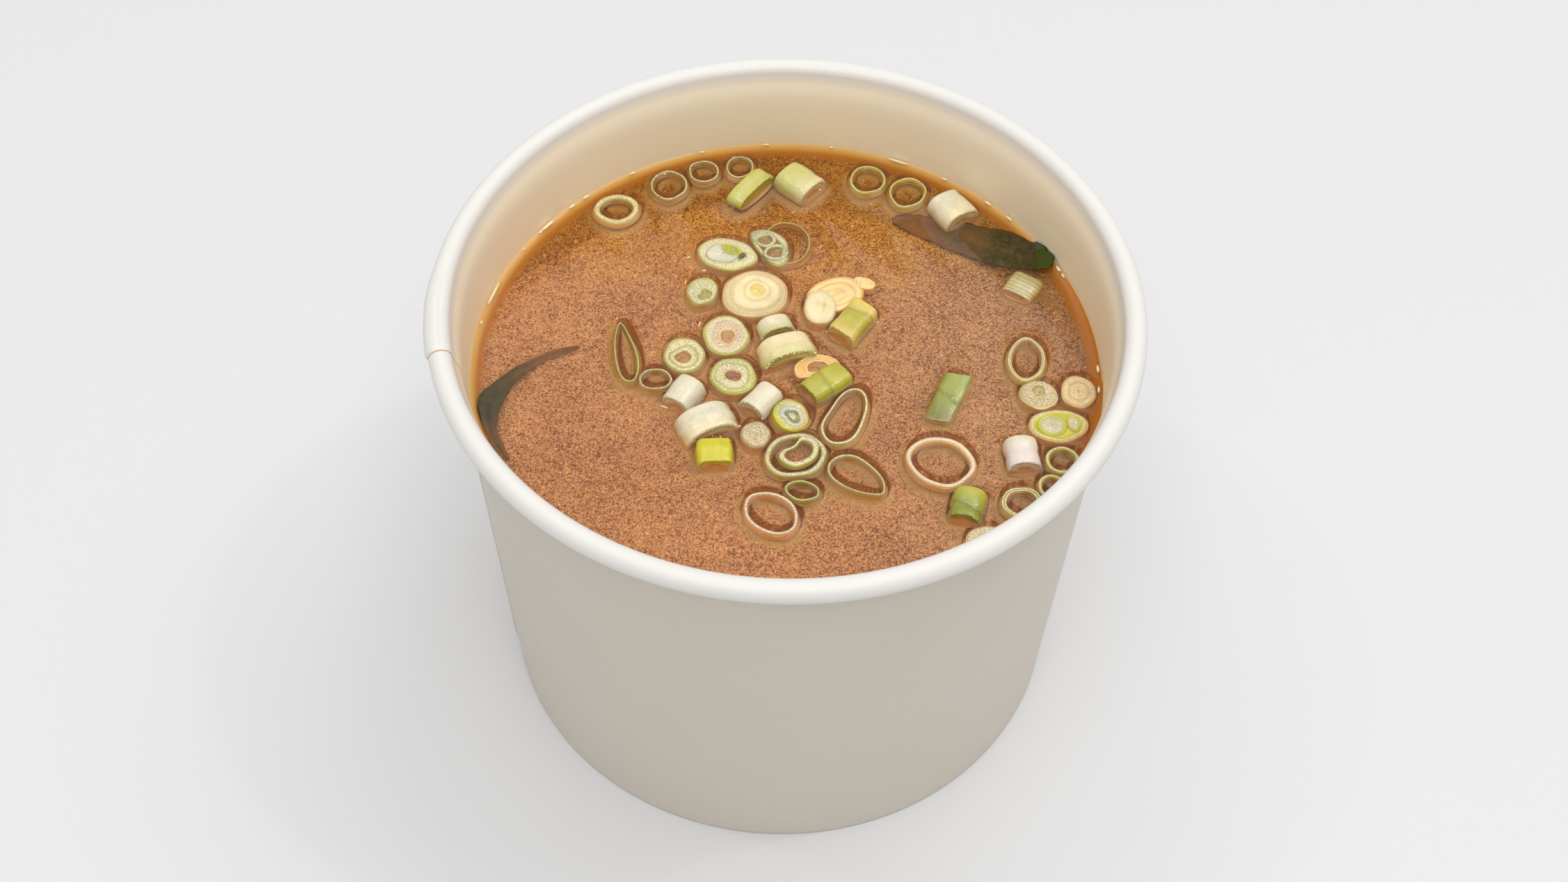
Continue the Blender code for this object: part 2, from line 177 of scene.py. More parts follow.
class Wire:
    # a socket in a material: + - * ** add Math nodes, and node() adds any other node

    def __init__(self, tree, socket=None):
        self.tree, self.socket = tree, socket

    def node(self, kind, settings=None, sockets=None, output=0):
        made = self.tree.nodes.new(kind)
        for name, value in (settings or {}).items():
            if name == "stops":
                stops = made.color_ramp.elements
                stops[0].position, stops[1].position = value[0][0], value[-1][0]
                for spot, _ in value[1:-1]:
                    stops.new(spot)
                for stop, (_, paint) in zip(stops, value):
                    stop.color = (*paint, 1.0)
            else:
                setattr(made, name, value)
        for name, value in (sockets or {}).items():
            socket = made.inputs[name]
            if isinstance(value, Wire):
                self.tree.links.new(value.socket, socket)
            elif isinstance(value, tuple) and len(value) == 3 and len(socket.default_value) == 4:
                socket.default_value = (*value, 1.0)
            else:
                socket.default_value = value
        return Wire(self.tree, made.outputs[output])

    def maths(self, operation, *values):
        return self.node("ShaderNodeMath", {"operation": operation}, dict(enumerate(values)))

    def __add__(self, other):
        return self.maths("ADD", self, other)

    def __sub__(self, other):
        return self.maths("SUBTRACT", self, other)

    def __rsub__(self, other):
        return self.maths("SUBTRACT", other, self)

    def __mul__(self, other):
        return self.maths("MULTIPLY", self, other)

    def __pow__(self, other):
        return self.maths("POWER", self, other)

    __radd__ = __add__

    def most(self, other):
        return self.maths("MAXIMUM", self, other)

    def ease(self, low, high):
        # 0 below low, 1 above high, smooth between; low above high turns it round
        return self.node("ShaderNodeMapRange", {"interpolation_type": "SMOOTHSTEP"},
                         {0: self, 1: low, 2: high, 3: 0.0, 4: 1.0})

    def paint(self, low, high):
        # a colour between low and high by this value
        return self.node("ShaderNodeMix", {"data_type": "RGBA"}, {0: self, 6: low, 7: high}, 2)

    def times(self, other):
        # two colours multiplied
        return self.node("ShaderNodeMix", {"data_type": "RGBA", "blend_type": "MULTIPLY"},
                         {0: 1.0, 6: self, 7: other}, 2)

    def ramp(self, stops):
        # a colour picked along a row of stops
        return self.node("ShaderNodeValToRGB", {"stops": stops}, {0: self})

    def grain(self, scale, detail=3.0, rough=0.55, bend=0.0):
        # soft noise read at this position
        return self.node("ShaderNodeTexNoise", {}, {"Vector": self, "Scale": scale, "Detail": detail,
                                                    "Roughness": rough, "Distortion": bend})

    def cells(self, scale):
        # distance to the nearest of scattered points, in cells
        return self.node("ShaderNodeTexVoronoi", {}, {"Vector": self, "Scale": scale})

    def part(self, axis):
        return self.node("ShaderNodeSeparateXYZ", {}, {0: self}, "XYZ".index(axis))

    def stretch(self, amounts):
        return self.node("ShaderNodeMapping", {}, {"Vector": self, "Scale": amounts})

    def bump(self, strength, distance):
        # this value as a fine relief, its distance in metres
        return self.node("ShaderNodeBump", {}, {"Strength": strength, "Distance": distance, "Height": self})

    def dim(self, share):
        return self.times((share, share, share))

    def where(self):
        # the position in metres in the part's own frame
        return self.node("ShaderNodeTexCoord", {}, {}, "Object")

    def layer(self, name, kind="Fac"):
        # a value painted on the mesh
        return self.node("ShaderNodeAttribute", {"attribute_name": name}, {}, kind)

    def surface(self, sockets):
        return self.node("ShaderNodeBsdfPrincipled", {}, sockets)


def newMaterial(name):
    # an empty material and a first wire in it
    material = bpy.data.materials.new(name)
    material.use_nodes = True
    material.node_tree.nodes.clear()
    return material, Wire(material.node_tree)


def closeMaterial(material, shader):
    out = shader.tree.nodes.new("ShaderNodeOutputMaterial")
    shader.tree.links.new(shader.socket, out.inputs["Surface"])
    return material


def depthUnder(spot):
    # millimetres under the soup's level
    return (level * mm - spot.part("Z")) * (1.0 / mm)


soupLow, soupHigh = cornersOf("soup")
climb = 0.6  # how far the soup climbs at the wall, as in the part
level = soupHigh[2] - climb

cup = {
    "height": 73.0,  # to the top of the rolled bead
    "beadRadius": 1.6,
    "beadMiddle": (47.15, 71.4),  # radius and height of the bead's middle
    "footRadius": 42.0,
    "mouthRadius": 45.4,
    "wall": 0.5,
    "skirt": 1.2,
    "hem": 7.0,
    "lapEdge": 193.5,  # degrees, where the sheet's free edge shows
    "lapWidth": 11.0,
    "lapStep": 0.34,
    "lapShareInside": 0.35,  # how much of the step shows on the inside
    "wave": 0.03,  # how uneven the mouth is
    "beadTurns": (-118.0, 168.0),  # where the bead's round starts and ends, in degrees
    "rows": (22, 34, 30, 6),  # along the outside, the bead, the inside and the skirt
    "columns": 360,
}


def wallOutside(height):
    return cup["footRadius"] + (cup["mouthRadius"] - cup["footRadius"]) * height / cup["height"]


def wallInside(height):
    return wallOutside(height) - cup["wall"]


murkColour = shade(214, 156, 96)  # what onion fades to under the soup
murkDeep = shade(160, 96, 42)  # what wakame fades to


def makePaper():
    # coated white board: outside, a greyed warm white painted as shade with the bead painted lighter as lit;
    # inside, cream painted as warm light bounced off the soup; raw board where the sheet is cut
    material, start = newMaterial("coated paper")
    spot = start.where()
    height = spot.part("Z")
    fibres = spot.grain(900.0, 4.0, 0.6)
    clouds = spot.grain(60.0, 3.0, 0.5)
    # painted warm light: the inside is cream for light bounced off the soup, and warmer towards the soup
    soupBounce = height.ease((level + 10.0) * mm, (level - 1.0) * mm)
    # painted light and shade outside: the wall under the bead is painted a darker, warmer white as shade, and the
    # bead a lighter white as painted light
    rim = height.ease(69.5 * mm, 71.5 * mm)
    shadedOutside = clouds.paint(shade(208, 200, 186), shade(213, 205, 191))
    white = rim.paint(shadedOutside, shade(228, 225, 219))
    cream = soupBounce.paint(shade(254, 244, 220), shade(255, 242, 210))
    colour = start.layer("inside").paint(white, cream)
    return closeMaterial(material, start.surface({
        "Base Color": start.layer("cut").paint(colour, shade(196, 160, 116)),
        "Roughness": 0.40 + fibres * 0.16,
        "Specular IOR Level": 0.45,
        "Coat Weight": 0.12,
        "Coat Roughness": 0.22,
        "Normal": fibres.bump(0.10, 0.00006),
    }))


def makeCupWall(material):
    # the wall's section, swung once round: foot, outside, bead, inside, hem. The lap lifts the
    # section along its own outward direction behind the free edge and drops over half a degree.
    beadR, beadZ = cup["beadMiddle"]
    radius, foot, hem = cup["beadRadius"], cup["footRadius"], cup["hem"]
    hemR = foot - cup["skirt"]
    neck = beadZ - radius - 0.35
    outsideRows, beadRows, insideRows, skirtRows = cup["rows"]
    section = [(hemR, 0.25), (hemR + 0.12, 0.05), (hemR + 0.3, 0.0)]
    section += [(foot - 0.3, 0.0), (foot - 0.1, 0.06), (wallOutside(0.3), 0.3)]
    section += [(wallOutside(height), height) for height in np.linspace(0.8, neck - 1.2, outsideRows)]
    section += [(wallOutside(neck - 0.4) + 0.03, neck - 0.4), (wallOutside(neck) + 0.2, neck - 0.02)]
    turns = np.radians(np.linspace(*cup["beadTurns"], beadRows))
    section += [(beadR + radius * math.cos(turn), beadZ + radius * math.sin(turn)) for turn in turns]
    section += [(wallInside(neck + 0.6) + 0.42, neck + 0.7), (wallInside(neck) + 0.16, neck - 0.3)]
    section += [(wallInside(height), height) for height in np.linspace(neck - 1.4, hem + 0.5, insideRows)]
    section += [(wallInside(hem) - 0.05, hem + 0.05), (hemR + 0.3, hem), (hemR, hem - 0.2)]
    section += [(hemR, height) for height in np.linspace(hem - 1.0, 1.0, skirtRows)]
    section = np.array(section)
    ahead = np.roll(section, -1, axis=0) - np.roll(section, 1, axis=0)
    outward = np.stack([ahead[:, 1], -ahead[:, 0]], axis=-1)
    outward /= np.linalg.norm(outward, axis=1, keepdims=True)
    inner = (section[:, 0] < beadR) & (section[:, 1] > hem - 1.0)
    fine = np.concatenate([np.linspace(0.0, 0.9, 9), np.linspace(1.6, 358.4, cup["columns"]), [359.2]])
    turn = math.radians(cup["lapEdge"]) + np.radians(fine)
    step = cup["lapStep"] * ease(2.0 * cup["lapWidth"], cup["lapWidth"], 360.0 - fine) * ease(0.0, 0.45, fine)
    drop = ease(0.0, 0.1, fine) * ease(0.45, 0.3, fine)
    wave = ripple(turn, 4, cup["wave"], 2, 4) - 0.04
    share = np.where(inner & (outward[:, 0] < 0.2), cup["lapShareInside"], 1.0) * ease(1.0, 4.0, section[:, 1])
    lift = step[None, :] * share[:, None]
    rise = ease(60.0, 72.0, section[:, 1])
    across = section[:, :1] + outward[:, :1] * lift + rise[:, None] * wave[None, :]
    up = section[:, 1:] + outward[:, 1:] * lift
    grid = np.stack([across * np.cos(turn), across * np.sin(turn), up], axis=-1)
    soft = ease(0.15, 0.75, inner * ease(72.6, 69.0, section[:, 1]) * (outward[:, 0] < 0.3))
    skin = Skin()
    skin.add(grid, {
        "inside": np.broadcast_to(soft[:, None], grid.shape[:2]),
        "cut": np.broadcast_to(drop[None, :], grid.shape[:2]),
    }, loop=True)
    keepPiece(skin, "cupWall", material, "paper", "cup_wall")


onionColours = {name: shade(*paint) for name, paint in {
    "white": (234, 226, 200), "cream": (248, 230, 184), "warmCream": (240, 208, 150), "yellow": (243, 214, 118),
    "beige": (216, 192, 146), "froth": (236, 222, 172), "pinkFroth": (236, 204, 168),
    "greyFroth": (220, 210, 160), "ringPink": (244, 218, 190), "grey": (214, 212, 198),
    "paleGreen": (212, 208, 128), "yellowGreen": (198, 192, 60), "vivid": (216, 206, 34), "leaf": (200, 198, 100),
    "leafDark": (164, 166, 86), "olive": (188, 176, 100), "amber": (180, 128, 44), "holeAmber": (196, 140, 76),
    "brown": (146, 88, 34), "dark": (104, 84, 44), "lobeHole": (160, 122, 64), "sunkCream": (255, 228, 166),
    "sunkOrange": (248, 204, 128), "moss": (132, 140, 60), "foldLight": (160, 168, 68),
    "foldDark": (128, 142, 50), "green": (146, 158, 10), "splitEnd": (190, 184, 40), "rimCream": (226, 202, 148),
    "mauve": (238, 226, 220),
}.items()}

# Cut faces from the skin to the core: share of the way where the band ends, colour, froth and
# height in mm against the cut face.
faces = {
    "greenRing": [(0.16, "leaf", 0.1, -0.08), (0.7, "froth", 0.9, 0.0), (1.0, "yellowGreen", 0.2, -0.10)],
    "paleRing": [(0.12, "paleGreen", 0.1, -0.08), (0.85, "froth", 1.0, 0.0), (1.0, "paleGreen", 0.3, -0.1)],
    "oliveRing": [(0.16, "olive", 0.3, -0.08), (0.85, "greyFroth", 1.0, 0.0), (1.0, "olive", 0.3, -0.1)],
    "pinkRing": [(0.08, "pinkFroth", 0.4, -0.06), (0.92, "ringPink", 1.0, 0.0), (1.0, "pinkFroth", 0.5, -0.1)],
    "creamRing": [(0.1, "warmCream", 0.0, -0.05), (0.9, "ringPink", 0.5, 0.0), (1.0, "cream", 0.1, -0.06)],
    "leafRing": [(0.2, "leafDark", 0.0, -0.05), (0.75, "leaf", 0.5, 0.0), (1.0, "leafDark", 0.1, -0.1)],
    "beanRing": [(0.1, "olive", 0.5, -0.06), (0.9, "froth", 1.0, 0.02), (1.0, "olive", 0.4, -0.08)],
    "yellowRing": [(0.12, "paleGreen", 0.0, -0.05), (0.5, "froth", 0.6, 0.0), (0.62, "paleGreen", 0.0, -0.1),
                   (1.0, "beige", 0.5, -0.03)],
    "twinRing": [(0.1, "leaf", 0.0, -0.06), (0.45, "froth", 1.0, 0.0), (0.56, "yellowGreen", 0.0, -0.14),
                 (0.92, "froth", 0.9, -0.05), (1.0, "olive", 0.1, -0.14)],
    "heart": [(0.12, "leaf", 0.1, 0.0), (0.85, "froth", 1.0, 0.05), (1.0, "olive", 0.2, -0.05)],
    "lobe": [(0.14, "olive", 0.1, -0.04), (0.9, "greyFroth", 0.9, 0.03), (1.0, "olive", 0.2, -0.08)],
    "lobeRim": [(0.06, "leaf", 0.1, -0.06), (0.32, "greyFroth", 0.9, 0.0), (0.4, "olive", 0.2, -0.1),
                (1.0, "lobeHole", 0.3, -0.4)],
    "creamDisc": [(0.05, "warmCream", 0.0, -0.05), (0.24, "rimCream", 0.35, 0.0), (0.30, "warmCream", 0.0, -0.04),
                  (0.58, "cream", 0.1, 0.02), (0.63, "yellow", 0.0, -0.03), (0.76, "cream", 0.05, 0.02),
                  (0.80, "yellow", 0.0, -0.02), (1.0, "yellow", 0.0, 0.05)],
    "creamOval": [(0.08, "cream", 0.0, -0.04), (0.9, "cream", 0.1, 0.02), (1.0, "yellow", 0.1, 0.0)],
    "amberHole": [(0.08, "leaf", 0.1, -0.08), (0.3, "froth", 0.8, 0.0), (0.60, "pinkFroth", 1.0, 0.0),
                  (0.72, "warmCream", 0.7, -0.16), (1.0, "holeAmber", 0.4, -0.4)],
    "twoLayers": [(0.07, "leaf", 0.1, -0.08), (0.34, "froth", 1.0, 0.0), (0.40, "olive", 0.0, -0.12),
                  (0.47, "paleGreen", 0.0, -0.05), (0.68, "froth", 0.9, -0.02), (1.0, "amber", 0.2, -0.5)],
    "greenEdge": [(0.06, "leaf", 0.1, -0.1), (0.26, "paleGreen", 0.8, -0.02), (0.32, "leaf", 0.0, -0.12),
                  (0.68, "froth", 1.0, 0.0), (0.76, "warmCream", 0.6, -0.2), (1.0, "brown", 0.1, -0.5)],
    "greyCore": [(0.10, "vivid", 0.0, -0.1), (0.30, "paleGreen", 0.7, 0.0), (0.36, "froth", 0.4, -0.04),
                 (0.62, "grey", 0.5, -0.16), (0.84, "moss", 0.3, -0.24), (1.0, "grey", 0.6, -0.2)],
    "speckled": [(0.06, "beige", 0.0, -0.08), (1.0, "beige", 1.0, 0.0)],
    "brownSpot": [(0.06, "froth", 0.0, -0.08), (0.72, "beige", 1.0, 0.0), (1.0, "olive", 0.4, -0.3)],
    "plainCap": [(0.06, "warmCream", 0.0, -0.08), (0.4, "warmCream", 0.5, 0.0), (0.46, "beige", 0.2, -0.05),
                 (1.0, "warmCream", 0.6, 0.0)],
    "pinkDisc": [(0.06, "warmCream", 0.0, -0.06), (0.5, "beige", 0.9, 0.0), (0.56, "warmCream", 0.1, -0.08),
                 (1.0, "pinkFroth", 0.6, 0.0)],
    "crescent": [(0.08, "leaf", 0.0, -0.06), (0.62, "greyFroth", 0.9, 0.0), (0.7, "leafDark", 0.0, -0.1),
                 (1.0, "olive", 0.1, -0.3)],
    "wideRim": [(0.06, "paleGreen", 0.1, -0.06), (0.42, "froth", 0.8, 0.0), (1.0, "froth", 0.4, -0.12)],
    "whiteCore": [(0.12, "paleGreen", 0.0, 0.0), (1.0, "white", 0.3, 0.06)],
    "curl": [(0.3, "vivid", 0.0, 0.10), (1.0, "yellowGreen", 0.1, 0.06)],
    "darkHole": [(0.35, "olive", 0.1, 0.02), (1.0, "dark", 0.0, 0.04)],
    "chamber": [(0.06, "warmCream", 0.1, -0.06), (0.17, "froth", 0.8, 0.0), (0.26, "vivid", 0.0, -0.1),
                (1.0, "vivid", 0.1, -0.12)],
    "chamberCore": [(0.2, "vivid", 0.0, 0.0), (0.3, "paleGreen", 0.1, -0.05), (1.0, "froth", 0.5, -0.02)],
    "sheath": [(0.10, "sunkOrange", 0.0, -0.05), (0.3, "sunkCream", 0.0, 0.0), (0.36, "sunkOrange", 0.0, -0.04),
               (0.62, "sunkCream", 0.0, 0.02), (1.0, "sunkCream", 0.0, 0.0)],
    "veil": [(0.1, "sunkCream", 0.0, 0.0), (0.45, "sunkOrange", 0.1, -0.12), (0.55, "sunkCream", 0.0, 0.0),
             (1.0, "amber", 0.0, -0.18)],
}

# the part's nodes of white onion; the others are green
whiteOnes = {
    "ring_back_1", "ring_back_4", "disc_cream_wide", "disc_cream_oval", "disc_beige", "ring_pinkish",
    "disc_right_hole", "disc_right_cap", "ring_wide", "disc_rim_pink", "chunk_back_pale", "chunk_back_white",
    "chunk_middle_pale", "chunk_left_white", "chunk_front_white", "chunk_inner_white", "chunk_right_white",
    "chunk_ribbed",
}


def upright(half, turn, face, skin="olive", **more):
    # a slice with its cut face up: half sizes, turn in degrees, face and skin colour. Wall is a
    # ring's thickness (0 is a full disc), core shifts the middle, waver makes the bands irregular,
    # stand is how far it stands out of the soup, lean tilts it, and set holds smaller slices.
    return dict(more, half=half, turn=turn, face=face, skin=skin)


slices = {
    "ring_back_1": upright((3.35, 3.05), 0, "paleRing", "froth", wall=1.0, stand=0.14),
    "ring_back_2": upright((3.1, 2.75), 75, "oliveRing", wall=0.42, stand=0.14),
    "ring_back_3": upright((2.4, 2.3), 0, "oliveRing", wall=0.42, stand=0.14),
    "ring_back_4": upright((2.35, 2.15), 90, "oliveRing", "froth", wall=0.4, stand=0.14),
    "ring_back_5": upright((3.0, 2.7), 80, "greenRing", "leaf", wall=0.45, stand=0.14),
    "ring_back_6": upright((3.2, 2.8), 60, "greenRing", "leaf", wall=0.45, stand=0.14, taper=0.12),
    "disc_curl": upright((4.4, 3.1), -6, "wideRim", "paleGreen", set=[
        upright((2.5, 1.95), 0, "whiteCore", "yellowGreen", at=(-0.7, -0.1)),
        upright((1.75, 0.95), -22, "curl", "vivid", at=(0.5, 0.75)),
        upright((0.75, 0.95), -10, "darkHole", at=(2.3, -0.3))]),
    "disc_two_lobes": upright((4.0, 2.3), -57, "lobeRim", "paleGreen", bend=-0.18, set=[
        upright((1.9, 1.6), 30, "lobe", wall=0.7, at=(-1.7, 0.0)),
        upright((2.0, 1.65), 70, "lobe", wall=0.7, at=(1.5, 0.1))]),
    "disc_crescent": upright((2.65, 2.25), 80, "crescent", "paleGreen", core=(0.9, -0.9), waver=2.0),
    "disc_cream_wide": upright((4.75, 4.5), 0, "creamDisc", "cream", core=(0.5, 0.75)),
    "disc_cream_oval": upright((3.2, 2.35), 92, "creamOval", "cream", core=(0.6, 0.3)),
    "disc_amber_hole": upright((3.7, 3.3), 95, "amberHole", "paleGreen", core=(0.1, -0.3), waver=2.0),
    "disc_two_layers": upright((3.3, 2.85), 102, "twoLayers", "paleGreen", core=(-0.5, -0.4), waver=2.0),
    "disc_green_edge": upright((3.35, 3.25), 90, "greenEdge", "paleGreen", core=(0.5, 0.1), waver=2.0),
    "ring_dark_small": upright((2.3, 1.95), 10, "oliveRing", wall=0.36),
    "ring_leaf_flat": upright((5.6, 1.6), 101, "leafRing", wall=0.36, taper=-0.3, stand=0.08),
    "disc_beige": upright((2.3, 2.0), 90, "speckled", "beige"),
    "disc_frothy": upright((2.8, 2.65), 90, "greyCore", "yellowGreen", waver=2.0, lean=(14, 180)),
    "ring_bean": upright((5.35, 2.9), 67, "beanRing", "paleGreen", wall=0.5, taper=-0.2, bend=-0.03, notch=0.2),
    "disc_heart": upright((4.35, 3.75), 30, "oliveRing", wall=0.85, set=[
        upright((3.0, 2.45), 12, "heart", "leaf", wall=0.95, notch=0.5, waver=0.0, at=(0.75, 0.35))]),
    "ring_green_small": upright((2.45, 1.7), -10, "leafRing", "leafDark", wall=0.42),
    "ring_pinkish": upright((4.1, 3.1), -37, "pinkRing", "pinkFroth", wall=0.5, taper=0.05),
    "ring_leaf_point": upright((4.55, 2.65), -38, "oliveRing", wall=0.38, taper=-0.3),
    "ring_right_oval": upright((4.0, 2.7), 82, "yellowRing", "paleGreen", wall=0.62),
    "disc_right_hole": upright((2.65, 2.55), 0, "brownSpot", "paleGreen", core=(0.2, 0.7), waver=2.0),
    "disc_right_cap": upright((2.8, 2.55), 90, "plainCap", "beige"),
    "disc_two_chambers": upright((4.05, 2.85), 6, "chamber", "warmCream", set=[
        upright((2.15, 1.95), 0, "chamberCore", at=(-0.85, 0.05)),
        upright((0.95, 1.5), 0, "chamberCore", at=(2.1, 0.15))]),
    "ring_wide": upright((4.65, 4.3), -30, "creamRing", "pinkFroth", wall=0.72),
    "ring_right_hidden": upright((2.4, 2.3), 0, "greenRing", "yellowGreen", wall=0.6),
    "ring_right_green": upright((2.05, 1.95), 0, "greenRing", "yellowGreen", wall=0.55),
    "ring_right_frothy": upright((2.8, 2.75), 0, "twinRing", "paleGreen", wall=0.8),
    "disc_rim_pink": upright((2.9, 2.75), 0, "pinkDisc", "warmCream"),
}

sliceMake = {
    "columns": 84,
    "faceRows": 46,
    "sideRows": 8,
    "depth": 2.6,  # of a full slice below the soup's level
    "ringDepth": 1.15,  # of a ring, whose foot can't be seen
    "setFoot": -0.9,  # of a slice set in another's face, under its own top
    "stand": 0.2,  # how far a cut face stands out of the soup
    "flare": 0.22,  # how much wider a soaked slice is at its foot
    "uneven": 0.06,
    "edgeDrop": 0.16,  # how far the cut face's edges round off
    "sideFroth": 0.05,
}


def outline(spec, half, angle):
    # an ellipse, narrowed along its length by taper, curved by bend, with a notch pressed into
    # one side for a heart
    along = np.cos(angle)
    across = np.sin(angle) * (1.0 + spec.get("taper", 0.0) * along)
    dent = 1.0 - spec.get("notch", 0.0) * np.exp(-((angle - math.pi * 0.5) / 0.62) ** 2)
    x = half[0] * along
    y = half[1] * across * dent + spec.get("bend", 0.0) * half[0] * (along * along - 0.5)
    return np.stack([x, y], axis=-1)


def bandsAt(face, share):
    # colour, froth and height at each share of a cut face; each band is crowned between grooves, and its colour is
    # painted darker towards the grooves as shade
    ends = np.array([band[0] for band in face])
    which = np.clip(np.searchsorted(ends, np.clip(share, 0.0, 0.9999), side="right"), 0, len(face) - 1)
    starts = np.concatenate([[0.0], ends[:-1]])
    inner = np.clip((share - starts[which]) / (ends[which] - starts[which]), 0.0, 1.0)
    crown = 1.0 - np.abs(2.0 * inner - 1.0) ** 4
    paint = np.array([onionColours[band[1]] for band in face])[which]
    froth = np.array([band[2] for band in face])[which]
    height = np.array([band[3] for band in face])[which]
    # painted shade: each band's colour darker towards its grooves
    return paint * (0.84 + 0.16 * crown)[..., None], froth * (0.35 + 0.65 * crown), height + 0.05 * crown


def smoothRows(values, times):
    # averages neighbouring rows so that steps between bands are rounded
    for _ in range(times):
        padded = np.concatenate([values[:1], values, values[-1:]])
        values = (padded[:-2] + 2.0 * padded[1:-1] + padded[2:]) / 4.0
    return values


def addSlice(skin, spot, spec, top, bottom, seed):
    # rows run up the outer skin, over the rounded edge, across the cut face and down again:
    # down the hole's side for a ring, to a middle point for a disc. Bands waver round the slice.
    columns, count, side = sliceMake["columns"], sliceMake["faceRows"], sliceMake["sideRows"]
    angle = around(columns)
    half = np.array(spec["half"], float)
    wall = spec.get("wall", 0.0)
    share = np.linspace(0.0, 1.0, count)
    waver = ripple(angle, seed + 17, 0.07, 1, 4)[None, :] * np.sin(math.pi * share)[:, None]
    wander = share[:, None] + waver * spec.get("waver", 0.5 if wall else 0.8)
    paint, froth, height = bandsAt(faces[spec["face"]], wander)
    edge = sliceMake["edgeDrop"]
    height = smoothRows(height, 2) - edge * (1.0 - ease(0.0, 0.12, share))[:, None] ** 2
    froth, paint = smoothRows(froth, 1), smoothRows(paint, 1)
    skinPaint = np.broadcast_to(onionColours[spec["skin"]], (side, columns, 3))
    skinFroth = np.full((side, columns), sliceMake["sideFroth"])
    up = np.linspace(0.0, 1.0, side)[:, None]
    outerHeight = bottom + (height[0] - 0.06 - bottom) * up
    flare = sliceMake["flare"] * (1.0 - up[:, 0]) * ease(0.0, 1.0, 1.0 - up[:, 0])
    if wall:
        height = height - edge * (1.0 - ease(1.0, 0.86, share))[:, None] ** 2
        inset = np.concatenate([-flare, 0.03 + share * (wall - 0.06), np.full(side, wall) + 0.5 * flare[::-1]])
        innerHeight = height[-1] - 0.06 + (bottom - height[-1] + 0.06) * up
        rowHeight = np.concatenate([outerHeight, height, innerHeight])
        rowPaint = np.concatenate([skinPaint, paint, np.broadcast_to(paint[-1], skinPaint.shape)])
        rowFroth = np.concatenate([skinFroth, froth, skinFroth])
        scale = np.ones(len(inset))
    else:
        inset = np.concatenate([-flare, np.zeros(count)])
        rowHeight = np.concatenate([outerHeight, height])
        rowPaint = np.concatenate([skinPaint, paint])
        rowFroth = np.concatenate([skinFroth, froth])
        scale = np.concatenate([np.ones(side), 1.0 - 0.985 * share])
    size = (half[None, :] - inset[:, None]) * scale[:, None]
    flat = outline(spec, (size[:, :1], size[:, 1:]), angle[None, :])
    uneven = 1.0 + ripple(angle, seed, sliceMake["uneven"])
    grid = np.concatenate([flat * uneven[None, :, None], rowHeight[..., None]], axis=-1)
    turn = math.radians(spec["turn"])
    if not wall:
        core = np.array(spec.get("core", (0.0, 0.0)))
        inward = np.array([core[0] * math.cos(turn) + core[1] * math.sin(turn),
                           core[1] * math.cos(turn) - core[0] * math.sin(turn)])
        grid[side:, :, :2] += share[:, None, None] * inward
    swell = ripple(angle, seed + 31, 0.07, 1, 4)
    grid[side:side + count, :, 2] += swell[None, :] * np.sin(math.pi * np.clip(share, 0.0, 0.5))[:, None]
    stance = Matrix.Rotation(turn, 4, "Z")
    if "lean" in spec:
        lean, to = (math.radians(part) for part in spec["lean"])
        stance = Matrix.Rotation(to, 4, "Z") @ Matrix.Rotation(-lean, 4, "Y") @ Matrix.Rotation(turn - to, 4, "Z")
    blotch = 1.0 + ripple(angle, seed + 7, 0.06, 1, 5)
    onSkin = np.concatenate([np.ones(side), np.zeros(count), np.ones(len(inset) - side - count)])
    skin.add(grid @ np.array(stance.to_3x3()).T + np.array([spot[0], spot[1], top]), {
        "tint": rowPaint * blotch[None, :, None],
        "froth": rowFroth,
        "soak": np.ones(rowHeight.shape),
        "grain": np.stack([onSkin[:, None] * angle * half.mean(), rowHeight, np.zeros(rowHeight.shape)], axis=-1),
    }, loop=bool(wall))
    return stance


shorelines = []  # closed lines where a piece meets the soup, as points in x and y


def keepShore(spot, spec, inset):
    line = outline(spec, np.array(spec["half"], float) - inset, around(64))
    shorelines.append(spun(line, spec["turn"]) + np.array(spot[:2]))


def outlineMiddle(spec):
    # the middle of the outline's own box, which a taper or a bend moves off the shape's origin
    bare = {name: value for name, value in spec.items() if name != "notch"}
    line = spun(outline(bare, spec["half"], around(240)), spec["turn"])
    return (line.min(axis=0) + line.max(axis=0)) / 2.0


def makeSlices(material):
    for seed, (node, spec) in enumerate(slices.items()):
        low, high = cornersOf(node)
        spot = (low + high)[:2] / 2.0 - outlineMiddle(spec)
        wall = spec.get("wall")
        top = level + spec.get("stand", sliceMake["stand"])
        bottom = level - sliceMake["ringDepth" if wall else "depth"] - top
        skin = Skin()
        stance = addSlice(skin, spot, spec, top, bottom, 10 * seed + 3)
        keepShore(spot, spec, 0.0)
        if wall:
            keepShore(spot, spec, wall)
        for number, inner in enumerate(spec.get("set", [])):
            at = stance @ Vector((inner["at"][0], inner["at"][1], 0.0))
            addSlice(skin, (spot[0] + at.x, spot[1] + at.y), dict(inner, turn=inner["turn"] + spec["turn"]),
                     top + 0.04, sliceMake["setFoot"], 10 * seed + 5 + number)
        keepPiece(skin, "onion_" + node, material, "white_onion" if node in whiteOnes else "green_onion", node)


